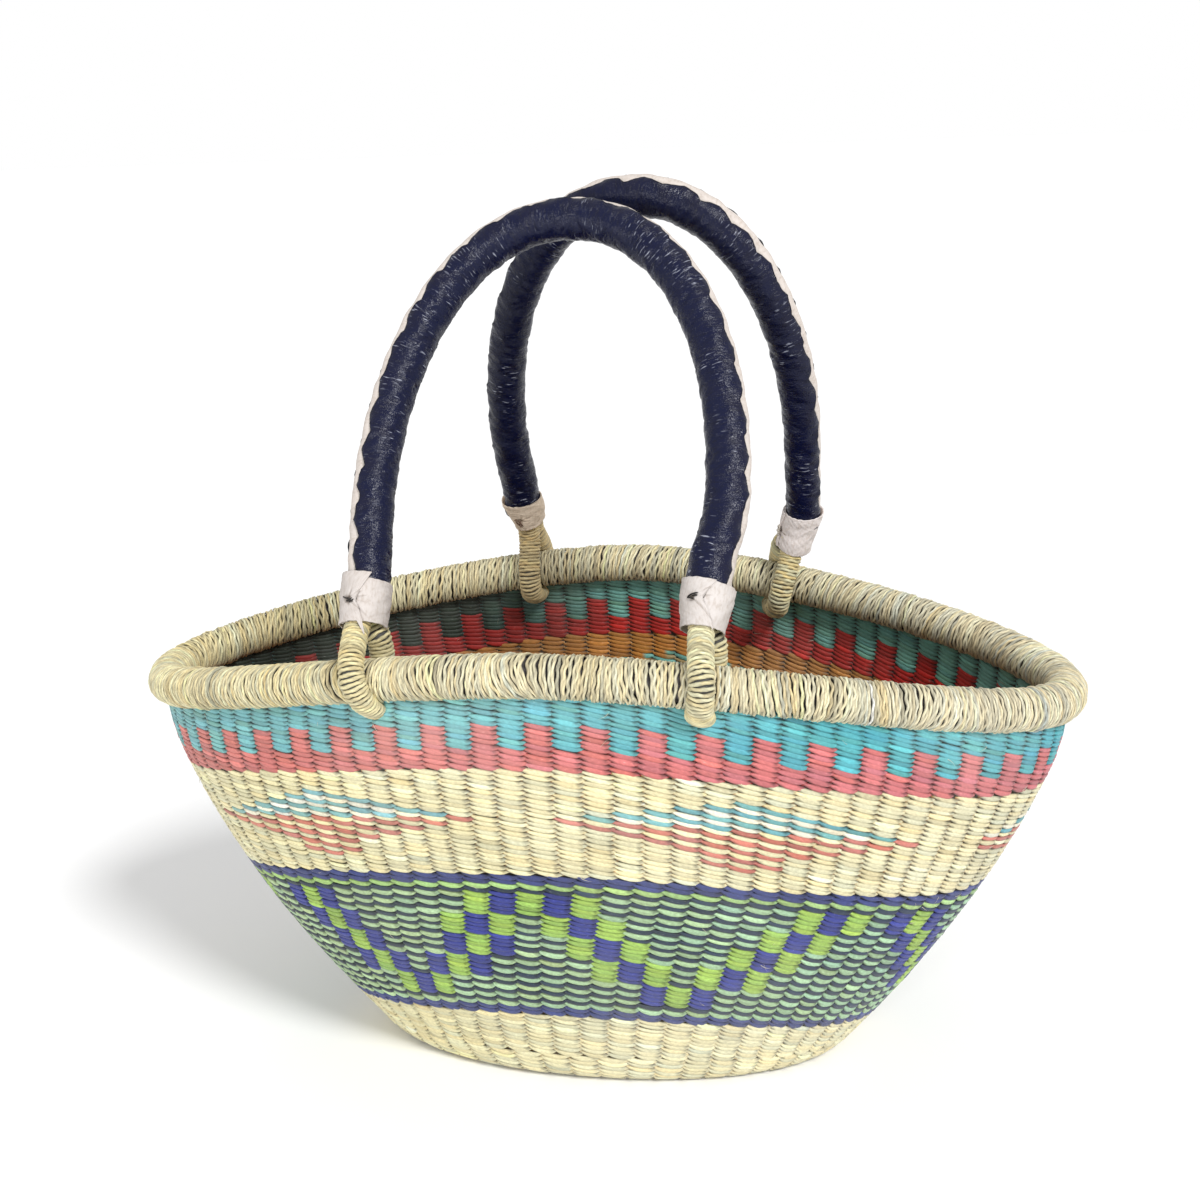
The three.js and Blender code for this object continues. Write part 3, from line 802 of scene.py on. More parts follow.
@dataclass
class StrawWrap:
    """A strand of two twisted plies of straw that is wound round a rope or a roll.

    Attributes:
        seed: what the colours of the turns are drawn from.
        radius: the strand's half thickness.
        lobe: how far the two plies stand out, as a share of the radius.
        lay: the length of one full twist.
        groove_shade: how dark the painted shade between the plies is.
    """

    seed: int
    radius: float
    lobe: float
    lay: float
    groove_shade: float
    contact_shade: float = 0.1
    sides: int = 6
    rng: np.random.Generator = field(init=False)

    def __post_init__(self) -> None:
        """Starts the random draws."""
        self.rng = np.random.default_rng(self.seed)

    def _plies(self, centre: Array) -> Array:
        """1 on a ply and -1 in a groove, as steps and sides, for points along the strand."""
        twist = FULL_TURN * arc_length(centre)[:, None] / self.lay / 2
        return np.cos(2 * (circle(self.sides)[None, :] - twist))

    def tube(self, centre: Array, spoke: Array) -> Array:
        """The strand's surface.

        Args:
            centre: points along the strand.
            spoke: the way out from what it is wound round, at each point.

        Returns:
            Points as steps, sides and xyz.
        """
        side = unit(np.cross(unit(np.gradient(centre, axis=0)), spoke))
        reach = (self.radius * (1 + self.lobe * self._plies(centre)))[..., None]
        return centre[:, None] + spokes(unit(spoke), side, circle(self.sides)) * reach

    def colours(self, centre: Array, count: int, turns: Array, dye: Dye, across: Array) -> Array:
        """Colours of the surface, each turn a little different, with painted shade where strands touch and
        in the grooves between the plies.

        Args:
            centre: points along the strand.
            count: how many turns there are in all.
            turns: the place of each point in turns.
            dye: the straw's dye.
            across: how far to the right each point is, from -1 to 1.

        Returns:
            Colours as steps, sides and rgb.
        """
        colour = lerp(*np.array(dye.outside), rightness(across))
        bright = np.exp(self.rng.normal(0, 0.13, count + 2))
        bright[self.rng.random(count + 2) < 0.06] *= 0.72
        warm = self.rng.normal(0, 0.05, count + 2)
        at = np.floor(turns).astype(int)
        tint = np.stack([1 + warm[at], np.ones(len(at)), 1 - 1.8 * warm[at]], -1)
        colour = clamp(colour * bright[at][:, None] * tint)[:, None]
        # Painted shade: the strand's flanks and inner side darken where it touches its neighbours and the
        # core, and the grooves between the plies darken too.
        contact = lerp(self.contact_shade, 1.0, clamp(np.cos(circle(self.sides)) + 0.24))
        grooves = lerp(self.groove_shade, 1.0, clamp(0.8 + 0.6 * self._plies(centre)))
        return colour * contact[:, None] * grooves[..., None]


@dataclass
class WrappedRim:
    """The roll at the top of the wall: a bundle wound all round with straw strands.

    Attributes:
        turns: how many turns the strand makes round the whole rim.
        lean: how far a turn leans along the rim, in turn widths, and lean_spread how much
            this differs along the rim.
        sway: how far neighbouring turns stray from each other, in turn widths.
        wobble: how far one turn strays along its own length.
        step: how uneven the turns' distances are.
        rough: how much the roll's radius differs along the rim.
        loose: how much it differs from turn to turn.
    """

    shape: BasketShape
    shop: Workshop
    turns: int = 780
    steps: int = 40
    strand: float = 0.82
    lobe: float = 0.2
    lay: float = 8.0
    groove_shade: float = 0.42
    lean: float = 1.0
    lean_spread: float = 2.0
    sway: float = 0.34
    wobble: float = 0.26
    step: float = 0.12
    rough: float = 0.2
    loose: float = 0.34
    bundle_inset: float = 2.9
    bundle_ribs: int = 12
    seed: int = 21

    def build(self) -> None:
        """Makes the back half and the front half, each with its bundle."""
        for part, side in enumerate(("back", "front")):
            self._wind(part, side)
            self._lay_bundle(part, side)

    def _wind(self, part: int, side: str) -> None:
        """Winds one half of the rim, part 0 at the back and part 1 at the front."""
        wrap = StrawWrap(self.seed + part, self.strand, self.lobe, self.lay, self.groove_shade)
        half = self.turns // 2
        turns = np.arange(half * self.steps + 1) / self.steps
        share = turns / half
        angle = FULL_TURN * turns
        lean = self.lean + self.lean_spread * smooth_noise(self.seed, share * 7 + part * 7.0)
        sway = smooth_noise(self.seed + 2, turns * 0.83 + part * 11.0, share * 3, 9)
        wobble = smooth_noise(self.seed + 4, turns * 9.3 + part * 5.0)
        slide = np.cos(angle + 0.6) * lean + self.sway * sway + self.wobble * wobble
        slide = slide + self._stray(wrap, half, turns)
        point, down, out = self.shape.rim_frame(self._angles((turns + slide) / self.turns + part * 0.5))
        rough = smooth_noise(self.seed + 1, share * 40)
        loose = smooth_noise(self.seed + 3, turns * 0.61, share, 9)
        radius = self.shape.rim_radius - self.strand + self.rough * rough + self.loose * loose
        spoke = down * np.cos(angle)[:, None] + out * np.sin(angle)[:, None]
        centre = point + spoke * radius[:, None]
        across = point[:, 0] / self.shape.rim_half_length
        draft = MeshDraft()
        draft.add_tubes(
            wrap.tube(centre, spoke)[None], wrap.colours(centre, half, turns, Dye.RIM, across)[None]
        )
        self.shop.settle(draft, f"rim_wrap_{side}", "basket", "rim_wrap", "natural_straw")

    def _lay_bundle(self, part: int, side: str) -> None:
        """Makes one half of the bundle of stalks, painted near black as the shade that shows where the
        strands stand apart.
        """
        draft = MeshDraft()
        point, down, out = self.shape.rim_frame(self._angles(np.linspace(0, 0.5, 320) + part * 0.5))
        turn = circle(4 * self.bundle_ribs)
        radii = self.shape.rim_radius - self.bundle_inset * self.strand
        radii = radii + 0.3 * np.cos(self.bundle_ribs * turn)
        points = point[:, None] + spokes(down, out, turn) * radii[:, None]
        draft.add_tubes(points[None], np.tile(np.array(RIM_BUNDLE_SHADE), (1, len(point), 1)))
        self.shop.settle(draft, f"rim_bundle_{side}", "basket", "rim_core", "grass_bundle")

    def _stray(self, wrap: StrawWrap, count: int, turns: Array) -> Array:
        """Small random sideways steps, one for each turn, eased from turn to turn."""
        drawn = wrap.rng.normal(0, self.step, count + 2)
        at = np.floor(turns).astype(int)
        return lerp(drawn[at], drawn[at + 1], eased(turns - at))

    def _angles(self, places: Array) -> Array:
        """Angles round the basket of places from 0 to 1, even along the rim's middle line."""
        u = np.linspace(-0.5, FULL_TURN + 0.5, 1681)
        length = arc_length(self.shape.wall(np.ones_like(u), u))
        start, end = np.interp([0.0, FULL_TURN], u, length)
        return np.interp(start + places * (end - start), length, u)


@dataclass(frozen=True)
class HandleSizes:
    """The sizes that both handles share, measured from the rim's middle line."""

    loop_radius: float = 16.8
    loop_lowest: float = 13.0
    rope_radius: float = 6.0
    loop_neck: float = 8.2
    neck_run: float = 2.0
    leg_offset: float = 5.65
    rope_strand: float = 0.97
    rope_pitch: float = 1.8
    cuff_length: float = 21.0
    cuff_radius: float = 10.5
    cuff_leather: float = 0.75
    sleeve_seat: float = 7.5
    sleeve_radius: float = 9.9
    leather: float = 1.3
    seam_half_angle: float = math.radians(36)
    lace_pitch: float = 17.0
    lace_depth: float = 3.3
    bend_height: float = 86.7
    leg_share: float = 0.3
    arch_squareness: float = 2.1
    half_span: float = 230.0

    @property
    def cuff_bottom(self) -> float:
        """Where the cuff starts."""
        return self.loop_radius + self.loop_neck

    @property
    def cuff_top(self) -> float:
        """Where the cuff ends."""
        return self.cuff_bottom + self.cuff_length

    @property
    def sleeve_bottom(self) -> float:
        """Where the sleeve starts, inside the cuff."""
        return self.cuff_top - self.sleeve_seat


@dataclass(frozen=True)
class Placement:
    """A handle's own frame: X along its swing axis, Y to the back and Z up along the handle."""

    origin: Array
    axes: Array

    @classmethod
    def from_joint(cls, joint: dict, outward: float, lean_degrees: float) -> Placement:
        """Works the frame out from the handle's hinge.

        Args:
            joint: the hinge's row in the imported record.
            outward: 1 if the hinge's axis points to the right, else -1.
            lean_degrees: how far the handle leans towards the back.

        Returns:
            The handle's frame.
        """
        across = unit(np.array(joint["axis"]) * outward)
        back = unit(np.cross([0.0, 0.0, 1.0], across))
        top = np.cross(across, back)
        lean = math.radians(lean_degrees)
        deep = math.cos(lean) * back - math.sin(lean) * top
        tall = math.sin(lean) * back + math.cos(lean) * top
        return cls(np.array(joint["pos_m"]) / MM, np.stack([across, deep, tall]))

    def out_of(self, points: Array) -> Array:
        """Points of the whole basket from points of the handle's own frame."""
        return self.origin + points @ self.axes


class Knot(Enum):
    """Ways that a cuff is tied, as thread strokes from x, z to x, z beside the knot."""

    TUFT = ((-2.6, 1.4, 1.4, -0.4), (-0.6, -0.9, 2.2, 0.3), (0.2, 0.6, 3.2, -1.6), (1.2, -2, 3, -0.4))
    ARROW = ((-1.9, 0, 2.6, 1.8), (-1.9, 0, 1.2, -1.1), (0.2, 0.5, 2.4, 0.6))
    STITCH = (
        (-2.6, -0.4, 0.2, -5), (-1.2, 0.6, 1.2, -4.4), (-2.8, 0.2, -1.2, 0.8), (-0.6, -3, 0.6, 0.2),
    )
    RING = (
        (-1.6, 0, -1, 2.6), (-1, 2.6, 1, 2.2), (1, 2.2, 1.2, -1.8), (1.2, -1.8, -1, -2),
        (-1, -2, -1.6, 0),
    )


@dataclass(frozen=True)
class FootStyle:
    """How one foot of a handle was set, laced and tied by hand, in millimetres and degrees.

    Attributes:
        sleeve_shift: how far to the right the sleeve's end stands, and cuff_shift the
            cuff's lower end.
        rope_shifts: the same for five places of the loop, from its front leg to its back.
        half_low: half of the cuff's width at its lower end.
        shorter: how much of the cuff's lower end is missing.
        wrap_end: where the cuff's flap ends, by the angle round it.
        notch: how far the flap's edge is drawn to the knot, as an angle.
        top_step: how much higher the flap stands at the top.
        top_tilt: how far the upper edge rises, and at which angle. Low_tilt is the same for
            the lower edge.
        tail: how long the flap's tail is, and at which angle.
        knot_place: the knot's angle, and its share of the way up the cuff.
        thread: the thread's colour.
        creases: for each crease out of the knot its direction, length and step.
    """

    sleeve_shift: float
    cuff_shift: float
    rope_shifts: tuple[float, float, float, float, float]
    half_low: float
    wrap_end: float
    notch: float
    top_step: float
    top_tilt: tuple[float, float]
    low_tilt: tuple[float, float]
    tail: tuple[float, float]
    knot: Knot
    knot_place: tuple[float, float]
    thread: int
    creases: tuple[tuple[float, float, float], ...]
    # Painted light and shade: each foot's multipliers on its cuff's and its rope's colour, set to how the
    # light falls on that foot.
    cuff_painted_light: Colour
    rope_painted_light: Colour = (1.0, 1.0, 1.0)
    shorter: float = 0.0


FRONT_LEFT = FootStyle(
    sleeve_shift=-4.1, cuff_shift=-3.8, rope_shifts=(-4.9, -0.6, 4.6, 4.2, 2.0), half_low=9.6,
    wrap_end=-62, notch=34, top_step=2.6, top_tilt=(0.6, 180), low_tilt=(0.3, 0), tail=(6.5, -64),
    knot=Knot.TUFT, knot_place=(-112, 0.5), thread=0x2A2622, cuff_painted_light=(0.87, 0.88, 0.9),
    creases=(
        (34, 8, 0), (14, 9, 0), (-10, 9, 0), (-40, 14, 0.5), (68, 5, 0), (160, 4, 0), (-75, 4, 0),
    ),
)
FRONT_RIGHT = FootStyle(
    sleeve_shift=-0.4, cuff_shift=-2.3, rope_shifts=(-1.9, 1.6, -1.8, 0.6, 2.2), half_low=8.7,
    wrap_end=-52, notch=40, top_step=0.3, top_tilt=(2.0, 180), low_tilt=(0.8, 180), tail=(3.6, -38),
    knot=Knot.ARROW, knot_place=(-113, 0.6), thread=0x161414, cuff_painted_light=(0.91, 0.93, 0.96),
    creases=((36, 10, 0.15), (10, 9, 0), (-44, 16, 0.6), (22, 6, 0), (172, 4, 0)),
)
BACK_LEFT = FootStyle(
    sleeve_shift=-2.5, cuff_shift=1.3, rope_shifts=(1.2, 2.6, 1.8, 1.2, 0.4), half_low=6.8,
    shorter=7.5, wrap_end=-20, notch=12, top_step=0.2, top_tilt=(0.8, 30), low_tilt=(1.0, 0),
    tail=(0, -60), knot=Knot.STITCH, knot_place=(-94, 0.42), thread=0x6A4A36,
    cuff_painted_light=(1.1, 1.0, 0.84), rope_painted_light=(0.94, 0.82, 0.68),
    creases=((24, 8, 0.1), (-8, 6, 0), (170, 5, 0), (60, 5, 0)),
)
BACK_RIGHT = FootStyle(
    sleeve_shift=5.2, cuff_shift=-0.6, rope_shifts=(-1.4, -7.4, -13, -13, -8), half_low=7.8,
    wrap_end=-150, notch=8, top_step=0.2, top_tilt=(0.8, 150), low_tilt=(2.6, 180), tail=(0, -60),
    knot=Knot.RING, knot_place=(-158, 0.52), thread=0xDCD4C6,
    cuff_painted_light=(1.22, 1.24, 1.3), rope_painted_light=(1.0, 0.95, 0.88), creases=((-8, 7, 0), (20, 4, 0)),
)


@dataclass
class Handle:
    """One arched handle: sleeve, welt, cuffs, knots and the rope loops that hold it.

    Attributes:
        foot_half: half of the distance between the two feet, and widest_half between the
            two legs where the bend starts.
        height: how high the handle's middle line rises over the rim's.
        seam: the angle of the leather's seam from the outside of the bend in degrees, at
            shares of the way from the left end to the right one.
        girths: how thick the leather is drawn at such shares, against its even radius.
    """

    name: str
    placement: Placement
    foot_half: float
    widest_half: float
    height: float
    seam: tuple[tuple[float, float], ...]
    girths: tuple[tuple[float, float], ...]
    feet: tuple[FootStyle, FootStyle]
    seed: int
    shop: Workshop
    sizes: HandleSizes = HandleSizes()

    def build(self) -> None:
        """Makes all pieces of the handle."""
        self._sleeve()
        self._welt()
        self._core()
        for end in (-1, 1):
            self._loop(end)
            self._cuff(end)
            self._knot(end)

    def _style(self, end: int) -> FootStyle:
        """How the left foot, -1, or the right one, 1, was made."""
        return self.feet[0 if end < 0 else 1]

    def _noise(self, number: int, x: Array, y: Array | float = 0.0, waves: int = 6) -> Array:
        """One of the handle's own smooth noises."""
        return smooth_noise(self.seed + number, x, y, waves)

    def _line(self, count: int) -> tuple[Array, Array]:
        """The handle's middle line in its own frame, evenly divided.

        Args:
            count: how many points to give.

        Returns:
            Points and directions out of the bend.
        """
        sizes = self.sizes
        share = np.linspace(0, 1, 1601)
        way = np.where(share < 0.5, -1.0, 1.0)
        climb = 1 - np.abs(2 * share - 1)
        z = lerp(sizes.sleeve_bottom, sizes.bend_height, climb / sizes.leg_share)
        spread = eased(clamp((z - sizes.cuff_top) / (sizes.bend_height - sizes.cuff_top)))
        shift = np.where(way < 0, self.feet[0].sleeve_shift, self.feet[1].sleeve_shift)
        angle = clamp((climb - sizes.leg_share) / (1 - sizes.leg_share)) * (math.pi / 2)
        power = 2 / sizes.arch_squareness
        bent = climb >= sizes.leg_share
        arch_x = np.maximum(0, np.cos(angle)) ** power * self.widest_half
        arch_z = lerp(sizes.bend_height, self.height, np.sin(angle) ** power)
        x = way * np.where(bent, arch_x, lerp(self.foot_half, self.widest_half, spread))
        x = x + np.where(bent, 0, shift * (1 - spread))
        raw = np.stack([x, np.zeros_like(x), np.where(bent, arch_z, z)], -1)
        point = smoothed(respaced(raw, count), 3)
        ahead = unit(np.gradient(point, axis=0))
        return point, np.stack([-ahead[:, 2], np.zeros(count), ahead[:, 0]], -1)

    def _lengths(self, count: int) -> Array:
        """How far along the handle each of a number of even steps is."""
        point, _ = self._line(count)
        return np.arange(count) * np.linalg.norm(point[1] - point[0])

    def _sweep(self, ring: Array, radii: Array) -> Array:
        """Lays a section along the handle's middle line.

        Args:
            ring: angles from the outside of the bend, as steps and sides.
            radii: distances from the middle line, as steps and sides.

        Returns:
            Points of the whole basket, as one tube.
        """
        count = len(ring)
        point, outward = self._line(count)
        deep = np.broadcast_to([0.0, 1.0, 0.0], outward.shape)
        girth = np.interp(np.linspace(0, 1, count), *zip(*self.girths))[:, None, None]
        spoke = spokes(outward, deep, ring) * radii[..., None] * girth
        return self.placement.out_of(point[:, None] + spoke)[None]

    def _settle(self, draft: MeshDraft, part: str, slot: str, end: int = 0) -> None:
        """Settles a piece that belongs to the whole handle or, with an end, to one foot."""
        place = {0: "handle", -1: "left", 1: "right"}[end]
        node = f"{self.name}_{place}_{part}"
        self.shop.settle(draft, f"{node}_piece", f"{self.name}_handle", node, slot)

    def _core(self) -> None:
        """Makes the bundle of stalks that the leather is drawn round."""
        count, around, stalks, slack = 260, 56, 7, 0.95
        turn = np.tile(circle(around), (count, 1))
        radii = self.sizes.sleeve_radius - self.sizes.leather - slack
        radii = radii + 0.3 * np.abs(np.cos(stalks * turn))
        draft = MeshDraft()
        # The stalks take the natural straw's darker inside colour, which is painted shade.
        draft.add_tubes(self._sweep(turn, radii), np.tile(Dye.NATURAL.inside[0], (1, count, 1)))
        self._settle(draft, "core", "grass_bundle")

    def _lace(self, length: Array) -> Array:
        """How far the sleeve's edge draws back between two lacing points, from 0 to 1."""
        wave = np.abs((length / self.sizes.lace_pitch) % 1 - 0.5) * 2
        return np.clip(wave * (1 + 0.3 * self._noise(8, length / 19)), 0, 1.2)

    def _seam_middle(self, count: int) -> Array:
        """Angle of the seam's middle from the outside of the bend, along the handle."""
        places, degrees = zip(*self.seam)
        angles = np.interp(np.linspace(0, 1, count), places, np.radians(degrees))
        return smoothed(angles, count // 16)[:, None]

    def _sleeve(self) -> None:
        """Makes the creased leather sleeve, open along its laced seam."""
        count, around, lining, lip_height, edge_inset = 860, 78, 12, 1.15, 0.7
        sizes = self.sizes
        length = self._lengths(count)
        seam = self._seam_middle(count)
        draw = sizes.lace_depth / sizes.sleeve_radius
        low, high = (
            (sizes.seam_half_angle + draw * (self._lace(length + shift) - 0.5))[:, None]
            for shift in (0.0, sizes.lace_pitch * 0.4)
        )
        share = np.linspace(0, 1, around)
        ring = lerp(seam + low, seam + FULL_TURN - high, share)
        lip = clamp(1 - from_edge(share) * 16)
        free = clamp((np.minimum(length, length[-1] - length) - sizes.sleeve_seat - 1) / 4)
        point_out = ((1 - self._lace(length)) ** 2 * free)[:, None]
        radii = sizes.sleeve_radius + self._creases(length, ring)
        radii = radii + lip * (lerp(0.1, lip_height, share) * point_out - 0.3)
        inner = lerp(seam + FULL_TURN - high, seam + low, np.linspace(0, 1, lining))
        inner_radii = np.full_like(inner, sizes.sleeve_radius - sizes.leather)
        inner_radii[:, [0, -1]] = radii[:, [-1, 0]] - edge_inset
        dyes = np.full((1, count, around + lining, 3), 0.35)
        dyes[0, :, :around] = self._leather_tint(length, ring, share)
        draft = MeshDraft()
        draft.add_tubes(self._sweep(np.hstack([ring, inner]), np.hstack([radii, inner_radii])), dyes)
        self._settle(draft, "sleeve", "navy_leather")

    def _leather_tint(self, length: Array, ring: Array, share: Array) -> Array:
        """Tint of the leather: browner beside the seam, which runs along the outside of the bend, as
        painted light for the brownish look that light from above gives the upper side; also browner in
        random patches, and darker at its very edge.

        Args:
            length: place along the handle.
            ring: angles from the outside of the bend, as steps and sides.
            share: place across the leather from one edge to the other.

        Returns:
            Tints as steps, sides and rgb.
        """
        edge = clamp(1 - from_edge(share) * 5)
        patch = self._noise(5, length[:, None] / 21, ring * 0.4)
        # Painted light: browner beside the seam for the brownish upper side, plus random browner patches.
        painted_light_and_patch_brown = clamp(0.55 * edge + 0.3 * patch)[..., None]
        tint = lerp(np.array([0.8, 0.9, 1.05]), np.array([2.3, 1.55, 0.95]), painted_light_and_patch_brown)
        return tint * (1 - 0.75 * clamp(1 - from_edge(share) * 70)[:, None])

    def _creases(self, length: Array, ring: Array) -> Array:
        """How far the leather stands in or out: soft lumps, dents and short creases across it."""
        along = length[:, None]
        lumps = self._noise(0, along / 26, ring * 0.35)
        broad = self._noise(1, along / 9, ring * 0.5)
        dents = self._noise(10, along / 5.5, ring * 1.1, 9)
        bent = self._noise(6, along / 6, ring * 0.8, 9)
        fine = self._noise(2, along / 2.9 + 0.35 * bent, ring * 0.55, 9)
        where = self._noise(3, along / 17, ring * 0.6)
        inner_bend = (1 - np.cos(ring)) / 2
        creased = -np.abs(fine) * clamp(0.55 + where) * (0.16 + 0.34 * inner_bend)
        return 0.28 * lumps + 0.14 * broad + 0.05 * dents + creased

    def _welt(self) -> None:
        """Makes the pale strip that shows between the sleeve's two edges."""
        count, around, tuck_in, crown_share = 420, 16, 0.3, 0.74
        length = self._lengths(count)
        share = np.linspace(-1, 1, around)
        ring = self._seam_middle(count) + share * (self.sizes.seam_half_angle + tuck_in)
        inside = self.sizes.sleeve_radius - self.sizes.leather - 0.25
        puff = self._noise(4, length[:, None] / 14, share * 0.6) * 0.22
        crown = clamp(1 - (np.abs(share) / crown_share) ** 3)
        radii = inside + crown * (0.55 + 0.45 * self._lace(length)[:, None] + puff)
        below = np.full_like(ring, inside - 0.9)
        draft = MeshDraft()
        tube = self._sweep(np.hstack([ring, ring[:, ::-1]]), np.hstack([radii, below]))
        draft.add_tubes(tube, np.ones((1, count, 3)))
        self._settle(draft, "welt", "cream_leather")

    def _loop_path(self, count: int, style: FootStyle) -> tuple[Array, Array]:
        """The rope loop's middle line round the swing axis, evenly divided.

        Args:
            count: how many points to give.
            style: the foot's own making.

        Returns:
            Points in the handle's frame beside the foot, and directions square to the rope.
        """
        sizes = self.sizes
        bend = sizes.cuff_bottom - sizes.neck_run
        reach = math.hypot(sizes.leg_offset, bend)
        leave = math.atan2(sizes.leg_offset, bend) + math.acos(sizes.loop_radius / reach)
        arc = np.linspace(math.pi / 2 + leave, 2.5 * math.pi - leave, 241)
        leg = np.linspace(sizes.cuff_bottom + style.shorter + sizes.sleeve_seat, bend, 25)
        left = np.stack([np.linspace(1.3 - sizes.leg_offset, -sizes.leg_offset, 25), leg], -1)
        radius = lerp(sizes.loop_radius, sizes.loop_lowest, np.maximum(0, -np.sin(arc)) ** 1.5)
        round_part = radius[:, None] * np.stack([np.cos(arc), np.sin(arc)], -1)
        raw = np.concatenate([left, round_part, left[::-1] * [-1, 1]])
        path = smoothed(respaced(raw, count), max(1, count // 60))
        ahead = unit(np.gradient(path, axis=0))
        shifts = (style.cuff_shift, *style.rope_shifts, style.cuff_shift)
        sideways = np.interp(np.linspace(0, 1, count), (0, 0.1, 0.33, 0.5, 0.67, 0.9, 1), shifts)
        sideways = smoothed(sideways, count // 3)
        square = np.stack([np.zeros(count), ahead[:, 1], -ahead[:, 0]], -1)
        return np.stack([sideways, path[:, 0], path[:, 1]], -1), square

    def _loop(self, end: int) -> None:
        """Winds one rope loop: a core painted near black as the shade between the turns, with straw
        strands wound round it.
        """
        sizes, style, steps = self.sizes, self._style(end), 24
        strand = sizes.rope_strand
        wrap = StrawWrap(self.seed + 7 + end, strand, lobe=0.12, lay=7.0, groove_shade=0.6)
        turns = round(arc_length(self._loop_path(400, style)[0])[-1] / sizes.rope_pitch)
        path, normal = self._loop_path(turns * steps, style)
        middle = path + np.array([end * self.foot_half, 0, 0])
        at = np.arange(turns * steps) / steps
        slip = self._noise(9 + end, at * 0.77, at / turns * 5, 9)
        loose = self._noise(12 + end, at * 0.53, at / turns * 5, 9)
        waver = self._noise(15 + end, at * 6.3)
        angle = FULL_TURN * at + 0.3 * slip
        ahead = unit(np.gradient(path, axis=0))
        sideways = unit(np.cross(ahead, normal))
        flat = clamp(-path[:, 2:] / sizes.loop_lowest) ** 1.5
        narrow, wide = normal * (1 - 0.3 * flat), sideways * (1 + 0.08 * flat)
        spoke = narrow * np.cos(angle)[:, None] + wide * np.sin(angle)[:, None]
        centre = middle + spoke * (sizes.rope_radius - strand + 0.12 * loose)[:, None]
        centre = centre + ahead * (0.22 * slip * np.sin(angle) + 0.17 * waver)[:, None]
        across = self.placement.out_of(middle)[:, 0] / sizes.half_span
        # This foot's painted light and shade tints the rope.
        colours = wrap.colours(centre, turns, at, Dye.ROPE, across) * np.array(style.rope_painted_light)
        draft = MeshDraft()
        draft.add_tubes(self.placement.out_of(wrap.tube(centre, spoke))[None], colours[None])
        # The core is painted near black: it is the shade that shows between the turns.
        core = spokes(narrow[::6], sideways[::6], circle(10)) * (sizes.rope_radius - 1.55 * strand)
        core = self.placement.out_of(middle[::6, None] + core)
        draft.add_tubes(core[None], np.full((1, len(core), 3), LOOP_CORE_SHADE))
        self._settle(draft, "loop", "natural_straw", end)

    def _cuff(self, end: int) -> None:
        """Wraps one leather cuff round the end of the sleeve and the two rope legs."""
        around, tall, turns = 210, 60, 1.22
        style, leather = self._style(end), self.sizes.cuff_leather
        along = np.linspace(0, 1, around)[None, :]
        share = np.linspace(0, 1, tall)[:, None]
        knot = style.knot_place[1]
        vertex = 1 - np.abs(share - knot) / max(knot, 1 - knot)
        cut = math.radians(style.notch) * vertex * along**6
        turn = math.radians(style.wrap_end) - FULL_TURN * turns * (1 - along) - cut
        lift = (leather + 0.08) * turns * along
        height = self._cuff_edges(style, share, turn)
        height = height + style.top_step * clamp((along - 0.5) / 0.3) * clamp(2 * share - 1)
        folds = self._noise(13 + end, share * 2.2, np.sin(turn) * 0.9)
        rough = self._noise(15 + end, share * 6, np.cos(turn) * 2.2)
        creases = self._knot_creases(style, share, turn)
        relief = 0.22 * folds + 0.07 * rough + creases
        outer = self._cuff_spots(end, share, turn, lift + leather + relief, height)
        inner = self._cuff_spots(end, share, turn, lift + 0.3 * relief, height)
        section = np.concatenate([outer, inner[::-1]], axis=0).transpose(1, 0, 2)
        dyes = np.ones((around, 2 * tall, 3))
        shade = np.clip(1 + 1.5 * creases, 0.3, 1.04)
        dyes[:, :tall] = shade.T[..., None] ** np.array([1.0, 1.1, 1.2])
        # This foot's painted light and shade tints the cuff.
        dyes = dyes * np.array(style.cuff_painted_light)
        draft = MeshDraft()
        draft.add_tubes(self.placement.out_of(section)[None], dyes[None])
        self._settle(draft, "cuff", "cream_leather", end)

    def _cuff_edges(self, style: FootStyle, share: Array, turn: Array) -> Array:
        """How far the cuff's hand-cut edges run up or down round it.

        Args:
            style: the foot's own making.
            share: place up the cuff, from 0 to 1.
            turn: angle round it, from its right.

        Returns:
            Distances upward, in millimetres.
        """
        tail_half = 0.36
        top, low = (
            size * np.cos(turn - math.radians(degrees))
            for size, degrees in (style.top_tilt, style.low_tilt)
        )
        away = np.abs(turn - math.radians(style.tail[1]))
        tail = style.tail[0] * clamp(1 - away / tail_half)
        ragged = 0.25 * self._noise(14, np.cos(turn) * 1.5, np.sin(turn) * 1.5)
        return clamp(2 * share - 1) * (top + ragged) + clamp(1 - 2 * share) * (low - tail + ragged)

    def _knot_creases(self, style: FootStyle, share: Array, turn: Array) -> Array:
        """Creases that run out from the knot, some with one side lying on the other.

        Args:
            style: the foot's own making.
            share: place up the cuff, from 0 to 1.
            turn: angle round it, from its right.

        Returns:
            How far the leather stands out, in millimetres.
        """
        away = (turn - math.radians(style.knot_place[0]) + math.pi) % FULL_TURN - math.pi
        right = away * self.sizes.cuff_radius
        upward = (share - style.knot_place[1]) * self.sizes.cuff_length
        total = -0.55 * np.exp(-(right**2 + upward**2) / 2.2)
        for degrees, length, step in style.creases:
            c, s = math.cos(math.radians(degrees)), math.sin(math.radians(degrees))
            ahead, aside = right * c + upward * s, upward * c - right * s
            there = clamp(ahead / 0.8) * clamp((length - ahead) / 2.5)
            fold = -0.3 * np.exp(-((aside / 0.38) ** 2)) + 0.1 * np.exp(-(((aside - 0.9) / 0.6) ** 2))
            flap = step * clamp(aside / 0.5 + 0.5) * np.exp(-np.maximum(aside, 0) / 3)
            total = total + there * (fold + flap)
        return total

